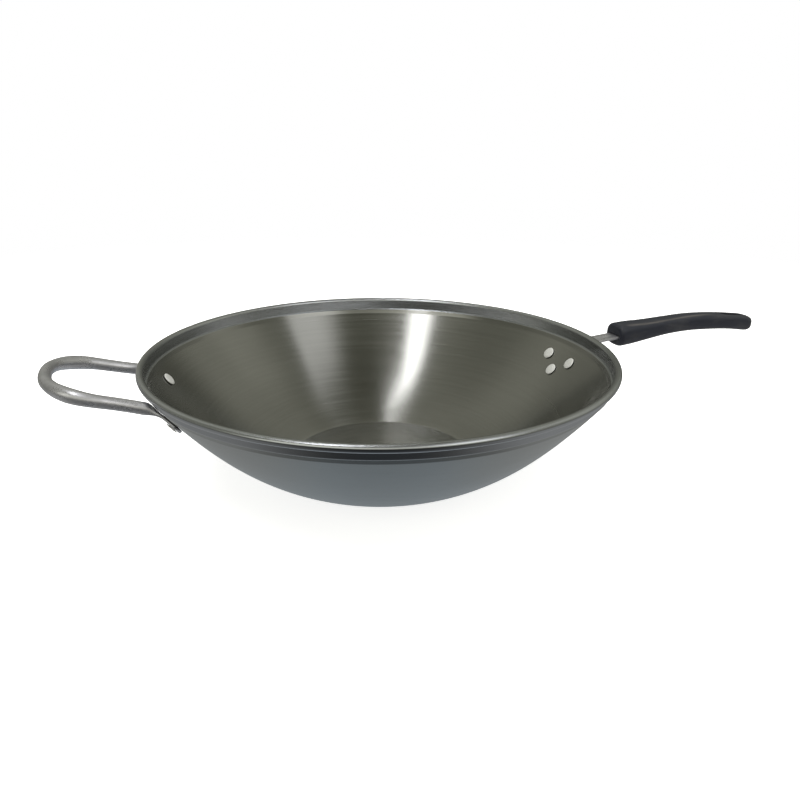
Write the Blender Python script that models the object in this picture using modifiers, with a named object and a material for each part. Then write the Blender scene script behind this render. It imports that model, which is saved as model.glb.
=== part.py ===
"""Stainless steel wok: spun bowl with a rolled rim, riveted loop handle, riveted long handle.

Metres, +Z up. The origin is the centre of the flat base's underside. The long handle points
along +X and the loop handle along -X. Heights called drops are measured down from the centre
of the rolled rim bead.
"""
import math

import bmesh
import bpy
import numpy as np
from mathutils import Matrix, Vector

MM = 0.001

# Bowl
RIM_RADIUS = 180.0 * MM
HEIGHT = 94.7 * MM
SHEET = 1.0 * MM
BASE_RADIUS = 75.5 * MM
FOOT_SLOPE = math.radians(22.3)
WALL_SLOPE = math.radians(51.7)
WALL_FULLNESS = 0.375
BEAD_RADIUS = 2.75 * MM
CURL_TURN = math.radians(295.0)
COLLAR_DEPTH = 8.1 * MM
LEDGE_WIDTH = 1.6 * MM
STEP_DEPTH = 3.6 * MM
STEP_RUN = 1.6 * MM
BOWL_SIDES = 72
WALL_FACETS = 11
CURL_FACETS = 9

# Gap kept between pieces that touch
GAP = 0.3 * MM

# Rivets
SHANK_RADIUS = 2.4 * MM
HEAD_RADIUS = 5.05 * MM
HEAD_HEIGHT = 1.3 * MM
OUTER_HEAD_SHARE = 0.86
RIVET_SIDES = 18

# Loop handle
ROD_RADIUS = 4.3 * MM
LOOP_RISE = math.radians(15.4)
LOOP_ROOT = 3.6 * MM
LOOP_DROP = 6.6 * MM
LOOP_LENGTH = 53.5 * MM
LOOP_HALF_WIDTH = 40.1 * MM
LOOP_BEND_LENGTH = 37.0 * MM
LOOP_BEND_POWER = 2.35
BEND_SWELL = 0.75 * MM
BEND_SWELL_PLACE = 41.0 * MM
BEND_SWELL_REACH = 13.0 * MM
LEG_SPLAY = 2.2 * MM
LEG_TUCK = 7.2 * MM
FOOT_HALF_SPAN = 46.2 * MM
FOOT_DROP = 20.9 * MM
FOOT_HALF_WIDTH = 6.8 * MM
FOOT_THICKNESS = 2.2 * MM
FOOT_TURN = math.radians(37.0)
FOOT_OVERHANG = 6.4 * MM
LEG_RUN_ON = 3.0 * MM
FOOT_RUN_IN = 9.0 * MM
LOOP_SIDES = 14

# Long handle's bracket: plate on the wall, neck under the rim, tang in the grip
STRAP = 1.8 * MM
PLATE_RIVET_PITCH = 32.0 * MM
PLATE_RIVET_DROP = 22.5 * MM
LOWER_RIVET_DROP = 31.8 * MM
PLATE_END_MARGIN = 10.4 * MM
PLATE_SIDE_MARGIN = 5.8 * MM
PLATE_TOE_RADIUS = 9.4 * MM
PLATE_EAR_SPREAD = 8.6 * MM
NECK_HALF_WIDTH = 7.8 * MM
NECK_RISE = math.radians(5.2)
NECK_BEND_DROP = 12.4 * MM
NECK_BEND_RADIUS = 9.0 * MM
TANG_LENGTH = 46.0 * MM
GROOVE_DEPTH = 1.1 * MM
GROOVE_HALF_WIDTH = 3.4 * MM
GROOVE_LENGTH = 33.0 * MM
PLATE_ROWS = 23

# Grip, front face first. Each station is (distance from the front face, top height, bottom
# height, width), with heights from the rim bead's centre.
NECK_REACH = 36.0 * MM
GRIP_STATIONS = (
    (0.0 * MM, 4.1 * MM, -15.0 * MM, 24.2 * MM),
    (13.0 * MM, 5.1 * MM, -13.9 * MM, 23.2 * MM),
    (29.0 * MM, 5.3 * MM, -11.7 * MM, 21.6 * MM),
    (53.0 * MM, 6.5 * MM, -8.6 * MM, 19.2 * MM),
    (77.0 * MM, 7.5 * MM, -7.4 * MM, 18.6 * MM),
    (99.0 * MM, 6.7 * MM, -7.9 * MM, 19.6 * MM),
    (123.0 * MM, 4.6 * MM, -9.6 * MM, 21.0 * MM),
    (146.7 * MM, 1.7 * MM, -13.0 * MM, 21.0 * MM),
)
GRIP_SQUARENESS = 2.9
GRIP_FACE_ROUND = 3.4 * MM
GRIP_SIDES = 24
HANG_HOLE_LENGTH = 23.4 * MM
HANG_HOLE_WIDTH = 8.5 * MM
HANG_HOLE_MARGIN = 13.0 * MM

# Screw that holds the tang in the grip
SCREW_FROM_FACE = 25.0 * MM
SCREW_RADIUS = 1.9 * MM
SCREW_HEAD_RADIUS = 3.6 * MM
SCREW_HEAD_HEIGHT = 2.4 * MM
SCREW_BITE = 5.0 * MM
SCREW_SLOT_WIDTH = 1.0 * MM
SCREW_SLOT_DEPTH = 1.1 * MM

BEAD_CENTRE_RADIUS = RIM_RADIUS - BEAD_RADIUS
BEAD_HEIGHT = HEIGHT - BEAD_RADIUS
COLLAR_RADIUS = RIM_RADIUS - 2.0 * BEAD_RADIUS + SHEET / 2.0
LEDGE_HEIGHT = BEAD_HEIGHT - COLLAR_DEPTH
GRIP_FACE_X = RIM_RADIUS + NECK_REACH


def clear_scene():
    """Remove whatever the open scene holds."""
    for old in list(bpy.data.objects):
        bpy.data.objects.remove(old, do_unlink=True)


def make_collection(name):
    collection = bpy.data.collections.new(name)
    bpy.context.scene.collection.children.link(collection)
    return collection


def make_material(name, colour, roughness, metallic):
    material = bpy.data.materials.new(name)
    material.use_nodes = True
    shader = material.node_tree.nodes["Principled BSDF"]
    shader.inputs["Base Color"].default_value = (*colour, 1.0)
    shader.inputs["Roughness"].default_value = roughness
    shader.inputs["Metallic"].default_value = metallic
    return material


def make_object(name, bm, collection, material=None):
    mesh = bpy.data.meshes.new(name)
    bm.to_mesh(mesh)
    bm.free()
    obj = bpy.data.objects.new(name, mesh)
    collection.objects.link(obj)
    if material is not None:
        mesh.materials.append(material)
    return obj


def shade(obj):
    obj.data.shade_smooth()
    obj.data.set_sharp_from_angle(angle=math.radians(40.0))


def cutter(obj, cutters):
    """Make an object a cutter: drawn as wire and left out of the render."""
    for owner in list(obj.users_collection):
        owner.objects.unlink(obj)
    cutters.objects.link(obj)
    obj.hide_render = True
    obj.display_type = "WIRE"
    return obj


def cut(obj, tool):
    modifier = obj.modifiers.new("cut_" + tool.name, "BOOLEAN")
    modifier.operation = "DIFFERENCE"
    modifier.object = tool


def turned(name, profile, sides, collection, material=None):
    """Turn a profile of (radius, height) pairs about Z. It runs down the piece's outer side."""
    bm = bmesh.new()
    points = [bm.verts.new((radius, 0.0, height)) for radius, height in profile]
    for first, second in zip(points[:-1], points[1:]):
        bm.edges.new((first, second))
    obj = make_object(name, bm, collection, material)
    screw = obj.modifiers.new("turn", "SCREW")
    screw.axis = "Z"
    screw.steps = sides
    screw.render_steps = sides
    screw.use_merge_vertices = True
    screw.merge_threshold = 0.00001
    screw.use_smooth_shade = True
    return obj


def loft(name, rings, collection, material, closed_start=True):
    """Skin equal rings of points, and close the ends with flat caps."""
    bm = bmesh.new()
    loops = [[bm.verts.new(point) for point in ring] for ring in rings]
    count = len(loops[0])
    for near, far in zip(loops[:-1], loops[1:]):
        for i in range(count):
            j = (i + 1) % count
            bm.faces.new((near[i], near[j], far[j], far[i]))
    if closed_start:
        bm.faces.new(list(reversed(loops[0])))
    bm.faces.new(loops[-1])
    return make_object(name, bm, collection, material)


def smooth_step(value, start, end):
    """Rise from 0 to 1 between start and end, level at both."""
    share = min(max((value - start) / (end - start), 0.0), 1.0)
    return share * share * (3.0 - 2.0 * share)


def offset_line(line, distance):
    """Shift a polyline of (radius, height) to its left by a distance, with mitred corners."""
    points = np.array(line)
    steps = np.diff(points, axis=0)
    steps /= np.linalg.norm(steps, axis=1)[:, None]
    normals = np.stack([-steps[:, 1], steps[:, 0]], axis=1)
    before = np.vstack([normals[:1], normals])
    after = np.vstack([normals, normals[-1:]])
    mitre = before + after
    mitre /= np.linalg.norm(mitre, axis=1)[:, None]
    reach = distance / np.sum(mitre * after, axis=1)
    return points + mitre * reach[:, None]


def wall_middle(share):
    """Point on the middle of the wall's sheet: 0 at the base's edge, 1 at the step."""
    foot = np.array([BASE_RADIUS, SHEET / 2.0])
    top = np.array([COLLAR_RADIUS - LEDGE_WIDTH - STEP_RUN, LEDGE_HEIGHT - STEP_DEPTH])
    handle = WALL_FULLNESS * np.linalg.norm(top - foot)
    leave = foot + handle * np.array([math.cos(FOOT_SLOPE), math.sin(FOOT_SLOPE)])
    arrive = top - handle * np.array([math.cos(WALL_SLOPE), math.sin(WALL_SLOPE)])
    rest = 1.0 - share
    return (rest ** 3 * foot + 3.0 * rest ** 2 * share * leave
            + 3.0 * rest * share ** 2 * arrive + share ** 3 * top)


def wall_at(drop):
    """Radius, height and slope of the wall's outer face at a drop below the bead's centre."""
    shares = np.linspace(0.0, 1.0, 400)
    middle = np.array([wall_middle(share) for share in shares])
    run = np.gradient(middle, axis=0)
    run /= np.linalg.norm(run, axis=1)[:, None]
    outer = middle + np.stack([run[:, 1], -run[:, 0]], axis=1) * SHEET / 2.0
    height = BEAD_HEIGHT - drop
    radius = float(np.interp(height, outer[:, 1], outer[:, 0]))
    slope = float(np.interp(height, outer[:, 1], np.arctan2(run[:, 1], run[:, 0])))
    return radius, height, slope


def wall_frame(drop, across, side):
    """Point on the wall's outer face with its outward normal, uphill and sideways directions.

    across is the distance from the XZ plane, and side is +1 for the long handle's side and
    -1 for the loop's.
    """
    radius, height, slope = wall_at(drop)
    turn = math.asin(across / radius)
    out = Vector((side * math.cos(turn), math.sin(turn), 0.0))
    point = out * radius + Vector((0.0, 0.0, height))
    normal = out * math.sin(slope) - Vector((0.0, 0.0, math.cos(slope)))
    uphill = out * math.cos(slope) + Vector((0.0, 0.0, math.sin(slope)))
    return point, normal, uphill, uphill.cross(normal)


def bowl_profile():
    """Closed section of the bowl, from the inside of the base up and round to its underside."""
    middle = [(0.0, SHEET / 2.0)]
    middle += [tuple(wall_middle(share)) for share in np.linspace(0.0, 1.0, WALL_FACETS + 1)]
    middle += [
        (COLLAR_RADIUS - LEDGE_WIDTH, LEDGE_HEIGHT),
        (COLLAR_RADIUS, LEDGE_HEIGHT),
        (COLLAR_RADIUS, BEAD_HEIGHT),
    ]
    inside = [tuple(point) for point in offset_line(middle, SHEET / 2.0)]
    outside = [tuple(point) for point in offset_line(middle, -SHEET / 2.0)]
    angles = [math.pi - CURL_TURN * i / CURL_FACETS for i in range(1, CURL_FACETS + 1)]

    def curl(radius):
        return [(BEAD_CENTRE_RADIUS + radius * math.cos(angle),
                 BEAD_HEIGHT + radius * math.sin(angle)) for angle in angles]

    return inside + curl(BEAD_RADIUS) + curl(BEAD_RADIUS - SHEET)[::-1] + outside[::-1]


def rivet_holes(frames, cutters):
    """Cylinders along the rivets' axes, wide enough for a shank and its gap."""
    tools = []
    for name, (point, normal, _, _) in frames.items():
        bpy.ops.mesh.primitive_cylinder_add(
            vertices=12, radius=SHANK_RADIUS + GAP, depth=12.0 * ROD_RADIUS, location=point)
        tool = bpy.context.object
        tool.name = "hole_" + name
        tool.rotation_euler = normal.to_track_quat("Z", "Y").to_euler()
        tools.append(cutter(tool, cutters))
    return tools


def build_bowl(collection, material, holes):
    bowl = turned("bowl", bowl_profile(), BOWL_SIDES, collection, material)
    for hole in holes:
        cut(bowl, hole)
    return bowl


def rivet_profile(stack):
    """Section of a set rivet on the wall's outer face, with stack the thickness it clamps."""
    outer_seat = stack + GAP
    inner_seat = -SHEET - 1.3 * GAP
    dome = [math.radians(angle) for angle in (90.0, 60.0, 30.0, 0.0)]
    edge = 0.45 * HEAD_HEIGHT
    crown = HEAD_HEIGHT - edge
    outer_radius = HEAD_RADIUS * OUTER_HEAD_SHARE
    outer = [(outer_radius * math.cos(angle), outer_seat + edge + 0.6 * crown * math.sin(angle))
             for angle in dome]
    inner = [(HEAD_RADIUS * math.cos(angle), inner_seat - edge - crown * math.sin(angle))
             for angle in dome]
    seats = [(outer_radius, outer_seat), (SHANK_RADIUS, outer_seat),
             (SHANK_RADIUS, inner_seat), (HEAD_RADIUS, inner_seat)]
    profile = outer + seats + inner[::-1]
    profile[0] = (0.0, profile[0][1])
    profile[-1] = (0.0, profile[-1][1])
    return profile


def build_rivets(frames, stack, collection, material):
    for name, (point, normal, _, _) in frames.items():
        rivet = turned(name, rivet_profile(stack), RIVET_SIDES, collection, material)
        rivet.location = point
        rivet.rotation_euler = normal.to_track_quat("Z", "Y").to_euler()


def loop_plane_point(along, across):
    """Point in the loop's tilted plane: along it from the rim, and across from the XZ plane."""
    out = RIM_RADIUS + LOOP_ROOT + along * math.cos(LOOP_RISE)
    return Vector((-out, across, BEAD_HEIGHT - LOOP_DROP + along * math.sin(LOOP_RISE)))


def loop_sections():
    """Half of the loop handle as (centre, half width, half thickness, face normal) sections.

    The rod swells by BEND_SWELL at BEND_SWELL_PLACE from the tip, measured along the rod.
    """
    down = Vector((math.sin(LOOP_RISE), 0.0, -math.cos(LOOP_RISE)))
    bend_start = LOOP_LENGTH - LOOP_BEND_LENGTH
    power = 2.0 / LOOP_BEND_POWER
    places = [(LOOP_LENGTH, 0.0)]
    for step in range(1, 9):
        angle = 0.5 * math.pi * step / 9
        places.append((bend_start + LOOP_BEND_LENGTH * math.cos(angle) ** power,
                       LOOP_HALF_WIDTH * math.sin(angle) ** power))
    leg = bend_start + LEG_TUCK
    for share in (0.0, 0.3, 0.65, 1.0):
        places.append((bend_start - leg * share, LOOP_HALF_WIDTH + LEG_SPLAY * share * share))
    sections = []
    before, way = loop_plane_point(*places[0]), 0.0
    for place in places:
        centre = loop_plane_point(*place)
        way += (centre - before).length
        before = centre
        away = (way - BEND_SWELL_PLACE) / BEND_SWELL_REACH
        radius = ROD_RADIUS + BEND_SWELL * math.exp(-away * away)
        sections.append((centre, radius, radius, down))
    return sections + foot_sections(down)


def foot_sections(down):
    """The loop's flattened foot: it leaves the leg, comes down on the wall and runs along it."""
    seat, normal, uphill, sideways = wall_frame(FOOT_DROP, FOOT_HALF_SPAN, -1)
    outward = sideways if sideways.y > 0.0 else -sideways
    along_foot = -uphill * math.cos(FOOT_TURN) + outward * math.sin(FOOT_TURN)
    rivet_centre = seat + normal * (GAP + FOOT_THICKNESS / 2.0)
    flat_start = rivet_centre - along_foot * (HEAD_RADIUS + 0.4 * MM)
    leg_end = loop_plane_point(-LEG_TUCK, LOOP_HALF_WIDTH + LEG_SPLAY)
    leg_before = loop_plane_point(0.0, LOOP_HALF_WIDTH + LEG_SPLAY * 0.6)
    first = leg_end + (leg_end - leg_before).normalized() * LEG_RUN_ON
    second = flat_start - along_foot * FOOT_RUN_IN
    sections = []
    for share in (0.16, 0.32, 0.48, 0.64, 0.82, 1.0):
        rest = 1.0 - share
        centre = (rest ** 3 * leg_end + 3.0 * rest ** 2 * share * first
                  + 3.0 * rest * share ** 2 * second + share ** 3 * flat_start)
        flat = smooth_step(share, 0.0, 0.9)
        half_width = ROD_RADIUS + (FOOT_HALF_WIDTH - ROD_RADIUS) * flat
        half_thickness = ROD_RADIUS + (FOOT_THICKNESS / 2.0 - ROD_RADIUS) * flat
        face = down.lerp(normal, smooth_step(share, 0.0, 0.6)).normalized()
        sections.append((centre, half_width, half_thickness, face))
    reach = HEAD_RADIUS + 0.4 * MM + FOOT_OVERHANG
    for share in (0.35, 0.6, 0.78, 0.9, 0.97, 1.0):
        centre = flat_start + along_foot * reach * share
        rounding = math.sqrt(max(1.0 - (max(share - 0.5, 0.0) * 1.95) ** 2.4, 0.0))
        sections.append((centre, FOOT_HALF_WIDTH * rounding, FOOT_THICKNESS / 2.0, normal))
    return sections


def section_ring(centre, tangent, half_width, half_thickness, face):
    """Ring of points round a section whose broad side faces along the face normal."""
    thick = (face - tangent * face.dot(tangent)).normalized()
    wide = tangent.cross(thick)
    flatness = 1.0 - half_thickness / max(half_width, half_thickness)
    power = 2.0 / (2.0 + 2.0 * flatness)
    ring = []
    for i in range(LOOP_SIDES):
        angle = 2.0 * math.pi * (i + 0.5) / LOOP_SIDES
        cosine, sine = math.cos(angle), math.sin(angle)
        a = half_width * math.copysign(abs(cosine) ** power, cosine)
        b = half_thickness * math.copysign(abs(sine) ** power, sine)
        ring.append(centre + wide * a + thick * b)
    return ring


def build_loop_handle(collection, material, holes):
    sections = loop_sections()
    centres = [section[0] for section in sections]
    rings = []
    for i, (centre, half_width, half_thickness, face) in enumerate(sections):
        if i == 0:
            tangent = Vector((0.0, 1.0, 0.0))
        elif i == len(sections) - 1:
            tangent = (centres[i] - centres[i - 1]).normalized()
        else:
            tangent = (centres[i + 1] - centres[i - 1]).normalized()
        rings.append(section_ring(centre, tangent, half_width, half_thickness, face))
    handle = loft("loop_handle", rings, collection, material, closed_start=False)
    mirror = handle.modifiers.new("mirror", "MIRROR")
    mirror.use_axis = (False, True, False)
    mirror.merge_threshold = 0.00001
    for hole in holes:
        cut(handle, hole)
    shade(handle)
    return handle


def bracket_path():
    """Middle of the strap from its toe to the end of the tang.

    Each station is (x, z, half width, share that follows the round wall).
    """
    lift = GAP + STRAP / 2.0

    def on_wall(drop):
        radius, height, slope = wall_at(drop)
        return (radius + lift * math.sin(slope), height - lift * math.cos(slope)), slope

    def slant(drop):
        return (end_drop - drop) / math.sin(WALL_SLOPE)

    end_drop = LOWER_RIVET_DROP + PLATE_END_MARGIN * math.sin(WALL_SLOPE)
    plate_half = PLATE_RIVET_PITCH / 2.0 + PLATE_SIDE_MARGIN
    shoulder = slant(PLATE_RIVET_DROP)

    def half_width(length):
        toe = max(PLATE_TOE_RADIUS - length, 0.0)
        rounding = math.sqrt(max(PLATE_TOE_RADIUS ** 2 - 0.98 * toe * toe, 0.0))
        away = abs(length - shoulder) / PLATE_EAR_SPREAD
        ear = (plate_half - PLATE_TOE_RADIUS) * math.exp(-away ** 2.6)
        narrow = smooth_step(length, shoulder + 2.0 * MM, shoulder + 16.0 * MM)
        return rounding + ear + (NECK_HALF_WIDTH - PLATE_TOE_RADIUS) * narrow

    stations = []
    for drop in np.linspace(end_drop, NECK_BEND_DROP, PLATE_ROWS):
        (x, z), slope = on_wall(drop)
        length = slant(drop)
        stations.append((x, z, half_width(length), 1.0))
    stride = NECK_BEND_RADIUS * (slope - NECK_RISE) / 5
    for step in range(1, 6):
        angle = slope + (NECK_RISE - slope) * (step - 0.5) / 5
        x += stride * math.cos(angle)
        z += stride * math.sin(angle)
        length += stride
        stations.append((x, z, half_width(length), 1.0 - step / 5))
    start_x, start_z, start_length = x, z, length
    end_x = GRIP_FACE_X + TANG_LENGTH
    for share in (0.03, 0.07, 0.12, 0.17, 0.23, 0.3, 0.37, 0.42, 0.46, 0.52, 0.7, 1.0):
        x = start_x + (end_x - start_x) * share
        z = start_z + (x - start_x) * math.tan(NECK_RISE)
        length = start_length + (x - start_x) / math.cos(NECK_RISE)
        stations.append((x, z, half_width(length), 0.0))
    return stations


def tang_height(x):
    """Height of the tang's middle at a given x, read from the bracket's own path."""
    stations = bracket_path()
    return float(np.interp(x, [s[0] for s in stations], [s[1] for s in stations]))


def build_bracket(collection, material, holes):
    bm = bmesh.new()
    lip = GROOVE_HALF_WIDTH / NECK_HALF_WIDTH
    columns = (-1.0, -0.7, -lip, -0.5 * lip, 0.0, 0.5 * lip, lip, 0.7, 1.0)
    stations = bracket_path()
    groove_start = GRIP_FACE_X - GROOVE_LENGTH - 2.0 * MM
    rows = []
    for x, z, half_width, on_wall in stations:
        row = []
        along = (x - groove_start) / GROOVE_LENGTH
        depth = GROOVE_DEPTH * smooth_step(along, 0.0, 0.2) * smooth_step(1.0 - along, 0.0, 0.2)
        for column in columns:
            y = column * half_width
            follow = on_wall * (x - math.sqrt(x * x - y * y))
            sunk = depth * (0.5 + 0.5 * math.cos(math.pi * min(abs(column) / lip, 1.0)))
            row.append(bm.verts.new((x - follow, y, z - sunk)))
        rows.append(row)
    for low, high in zip(rows[:-1], rows[1:]):
        for i in range(len(columns) - 1):
            bm.faces.new((low[i], low[i + 1], high[i + 1], high[i]))
    bracket = make_object("handle_bracket", bm, collection, material)
    solidify = bracket.modifiers.new("sheet", "SOLIDIFY")
    solidify.thickness = STRAP
    solidify.offset = 0.0
    solidify.use_even_offset = True
    for hole in holes:
        cut(bracket, hole)
    shade(bracket)
    return bracket


def grip_outline(share_x):
    """Top, bottom and width of the grip at a distance from its front face."""
    table = np.array(GRIP_STATIONS)
    slopes = np.gradient(table[:, 1:], table[:, 0], axis=0)
    i = int(np.clip(np.searchsorted(table[:, 0], share_x) - 1, 0, len(table) - 2))
    step = table[i + 1, 0] - table[i, 0]
    u = (share_x - table[i, 0]) / step
    return ((2 * u ** 3 - 3 * u ** 2 + 1) * table[i, 1:] + (u ** 3 - 2 * u ** 2 + u) * step * slopes[i]
            + (3 * u ** 2 - 2 * u ** 3) * table[i + 1, 1:] + (u ** 3 - u ** 2) * step * slopes[i + 1])


def grip_rings():
    """Rounded sections of the grip, with an eased front edge and a half-round end."""
    body_end = GRIP_STATIONS[-1][0]
    end_radius = GRIP_STATIONS[-1][3] / 2.0
    round_start = body_end - 0.5 * end_radius
    length = body_end + 0.5 * end_radius
    places = []
    for angle in (0.0, 30.0, 60.0, 90.0):
        turn = math.radians(angle)
        places.append((GRIP_FACE_ROUND * (1.0 - math.cos(turn)), GRIP_FACE_ROUND * (1.0 - math.sin(turn))))
    places += [(x, 0.0) for x in np.linspace(2.5 * GRIP_FACE_ROUND, round_start, 16)]
    rings = []
    for x, inset in places:
        rings.append(grip_ring(x, inset, 1.0, 1.0))
    for angle in (18.0, 36.0, 52.0, 66.0, 78.0, 86.0):
        turn = math.radians(angle)
        x = round_start + (length - round_start) * math.sin(turn)
        rings.append(grip_ring(min(x, body_end), 0.0, math.cos(turn) ** 0.9, math.cos(turn) ** 0.75, x))
    return rings


def grip_ring(x, inset, width_share, height_share, place=None):
    """One section of the grip: a squared oval between its top and bottom lines."""
    top, bottom, width = grip_outline(x)
    middle = BEAD_HEIGHT + (top + bottom) / 2.0
    half_height = (top - bottom) / 2.0 * height_share - inset
    half_width = width / 2.0 * width_share - inset
    position = GRIP_FACE_X + (x if place is None else place)
    ring = []
    for i in range(GRIP_SIDES):
        angle = 2.0 * math.pi * (i + 0.5) / GRIP_SIDES
        cosine, sine = math.cos(angle), math.sin(angle)
        y = half_width * math.copysign(abs(cosine) ** (2.0 / GRIP_SQUARENESS), cosine)
        z = half_height * math.copysign(abs(sine) ** (2.0 / GRIP_SQUARENESS), sine)
        ring.append(Vector((position, y, middle + z)))
    return ring


def grip_length():
    return GRIP_STATIONS[-1][0] + 0.25 * GRIP_STATIONS[-1][3]


def slot_cutter(cutters):
    """Straight slot for the tang, open at the grip's front face."""
    depth = TANG_LENGTH + GAP
    front = GRIP_FACE_X - 5.0 * MM
    bm = bmesh.new()
    bmesh.ops.create_cube(bm, size=1.0)
    tool = make_object("tang_slot", bm, cutters)
    size = Vector((depth + 5.0 * MM, 2.0 * (NECK_HALF_WIDTH + GAP), STRAP + 2.0 * GAP))
    middle_x = front + size.x / 2.0
    tool.data.transform(Matrix.Diagonal((*size, 1.0)))
    tool.location = (middle_x, 0.0, tang_height(middle_x))
    tool.rotation_euler = (0.0, -NECK_RISE, 0.0)
    return cutter(tool, cutters)


def hang_hole_cutter(cutters):
    """Oval hole through the grip's end: a cylinder pulled apart along X."""
    end = GRIP_FACE_X + grip_length()
    middle_x = end - HANG_HOLE_MARGIN - HANG_HOLE_LENGTH / 2.0
    bpy.ops.mesh.primitive_cylinder_add(
        vertices=24, radius=HANG_HOLE_WIDTH / 2.0, depth=60.0 * MM,
        location=(middle_x, 0.0, BEAD_HEIGHT))
    tool = bpy.context.object
    tool.name = "hang_hole"
    pull = (HANG_HOLE_LENGTH - HANG_HOLE_WIDTH) / 2.0
    for vertex in tool.data.vertices:
        vertex.co.x += math.copysign(pull, vertex.co.x)
    return cutter(tool, cutters)


def screw_seat():
    """Place of the screw's head: its x and the height of the grip's underside there."""
    x = GRIP_FACE_X + SCREW_FROM_FACE
    bottom = grip_outline(SCREW_FROM_FACE)[1]
    return x, BEAD_HEIGHT + bottom


def screw_profile(extra):
    """Section of the grip screw, head down, grown all round by a clearance."""
    _, seat = screw_seat()
    tip = tang_height(GRIP_FACE_X + SCREW_FROM_FACE) + STRAP / 2.0 + SCREW_BITE - seat
    recess = 0.5 * MM
    head_low = recess - extra * 4.0 if extra else recess
    return [
        (0.0, tip + extra),
        (SCREW_RADIUS + extra, tip + extra),
        (SCREW_RADIUS + extra, recess + SCREW_HEAD_HEIGHT + extra),
        (SCREW_HEAD_RADIUS + extra, recess + SCREW_HEAD_HEIGHT * 0.55 + extra),
        (SCREW_HEAD_RADIUS + extra, head_low),
        (0.0, head_low),
    ]


def build_screw(collection, cutters, material):
    x, seat = screw_seat()
    screw = turned("grip_screw", screw_profile(0.0), 20, collection, material)
    screw.location = (x, 0.0, seat)
    bm = bmesh.new()
    bmesh.ops.create_cube(bm, size=1.0)
    slot = make_object("screw_slot", bm, cutters)
    size = (4.0 * SCREW_HEAD_RADIUS, SCREW_SLOT_WIDTH, 2.0 * SCREW_SLOT_DEPTH)
    slot.data.transform(Matrix.Diagonal((*size, 1.0)))
    slot.location = (x, 0.0, seat + 0.5 * MM)
    cut(screw, cutter(slot, cutters))
    return screw


def build_grip(collection, cutters, material):
    grip = loft("grip", grip_rings(), collection, material)
    cut(grip, slot_cutter(cutters))
    cut(grip, hang_hole_cutter(cutters))
    x, seat = screw_seat()
    hole = turned("screw_hole", screw_profile(GAP), 20, cutters)
    hole.location = (x, 0.0, seat)
    cut(grip, cutter(hole, cutters))
    shade(grip)
    return grip


def build():
    clear_scene()
    wok = make_collection("wok")
    cutters = make_collection("cutters")
    steel = make_material("spun_steel", (0.36, 0.36, 0.33), 0.32, 1.0)
    polished = make_material("polished_steel", (0.52, 0.52, 0.52), 0.2, 1.0)
    rivet_steel = make_material("rivet_steel", (0.62, 0.62, 0.60), 0.45, 1.0)
    phenolic = make_material("black_phenolic", (0.018, 0.018, 0.022), 0.38, 0.0)

    across = PLATE_RIVET_PITCH / 2.0
    plate_frames = {
        "bracket_rivet_left": wall_frame(PLATE_RIVET_DROP, across, 1),
        "bracket_rivet_right": wall_frame(PLATE_RIVET_DROP, -across, 1),
        "bracket_rivet_lower": wall_frame(LOWER_RIVET_DROP, 0.0, 1),
    }
    foot_frames = {
        "loop_rivet_left": wall_frame(FOOT_DROP, FOOT_HALF_SPAN, -1),
        "loop_rivet_right": wall_frame(FOOT_DROP, -FOOT_HALF_SPAN, -1),
    }
    plate_holes = rivet_holes(plate_frames, cutters)
    foot_holes = rivet_holes(foot_frames, cutters)

    build_bowl(wok, steel, plate_holes + foot_holes)
    build_loop_handle(wok, polished, foot_holes)
    build_rivets(foot_frames, GAP + FOOT_THICKNESS, wok, rivet_steel)
    bracket = build_bracket(wok, polished, plate_holes)
    build_rivets(plate_frames, GAP + STRAP, wok, rivet_steel)
    build_grip(wok, cutters, phenolic)
    build_screw(wok, cutters, polished)
    x, seat = screw_seat()
    shank = turned("tang_hole", screw_profile(GAP), 20, cutters)
    shank.location = (x, 0.0, seat)
    cut(bracket, cutter(shank, cutters))


build()
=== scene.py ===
"""Looks of the stainless steel wok: spun bowl, rod loop, strap bracket, rivets and moulded grip.

Metres, +Z up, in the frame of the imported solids. The long handle points along +X and the loop
along -X. Heights called drops are measured down from the centre of the rolled rim bead.
"""
import logging
import math
from dataclasses import dataclass, field
from enum import Enum

import bmesh
import bpy
import numpy as np
from mathutils import Matrix, Vector


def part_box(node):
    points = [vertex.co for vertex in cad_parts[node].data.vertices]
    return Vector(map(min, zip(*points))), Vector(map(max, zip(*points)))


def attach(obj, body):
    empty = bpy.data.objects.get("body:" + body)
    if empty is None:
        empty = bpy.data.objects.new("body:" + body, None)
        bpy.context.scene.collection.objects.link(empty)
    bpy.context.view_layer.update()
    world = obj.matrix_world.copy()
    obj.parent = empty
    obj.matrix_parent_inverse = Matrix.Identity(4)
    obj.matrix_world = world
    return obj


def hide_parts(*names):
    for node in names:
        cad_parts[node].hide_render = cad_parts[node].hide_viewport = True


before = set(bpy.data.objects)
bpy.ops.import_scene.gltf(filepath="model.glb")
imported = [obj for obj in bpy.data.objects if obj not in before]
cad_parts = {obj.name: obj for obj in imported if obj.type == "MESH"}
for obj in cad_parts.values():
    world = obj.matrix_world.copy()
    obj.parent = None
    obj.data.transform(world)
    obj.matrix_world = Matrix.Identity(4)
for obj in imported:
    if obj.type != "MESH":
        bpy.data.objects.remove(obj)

MM = 0.001
LOG = logging.getLogger("wok")
WELD_DISTANCE = 0.5e-6


class Side(Enum):
    """Which side of the bowl a fitting sits on, as the sign of its X."""

    LONG_HANDLE = 1.0
    LOOP = -1.0


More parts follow.
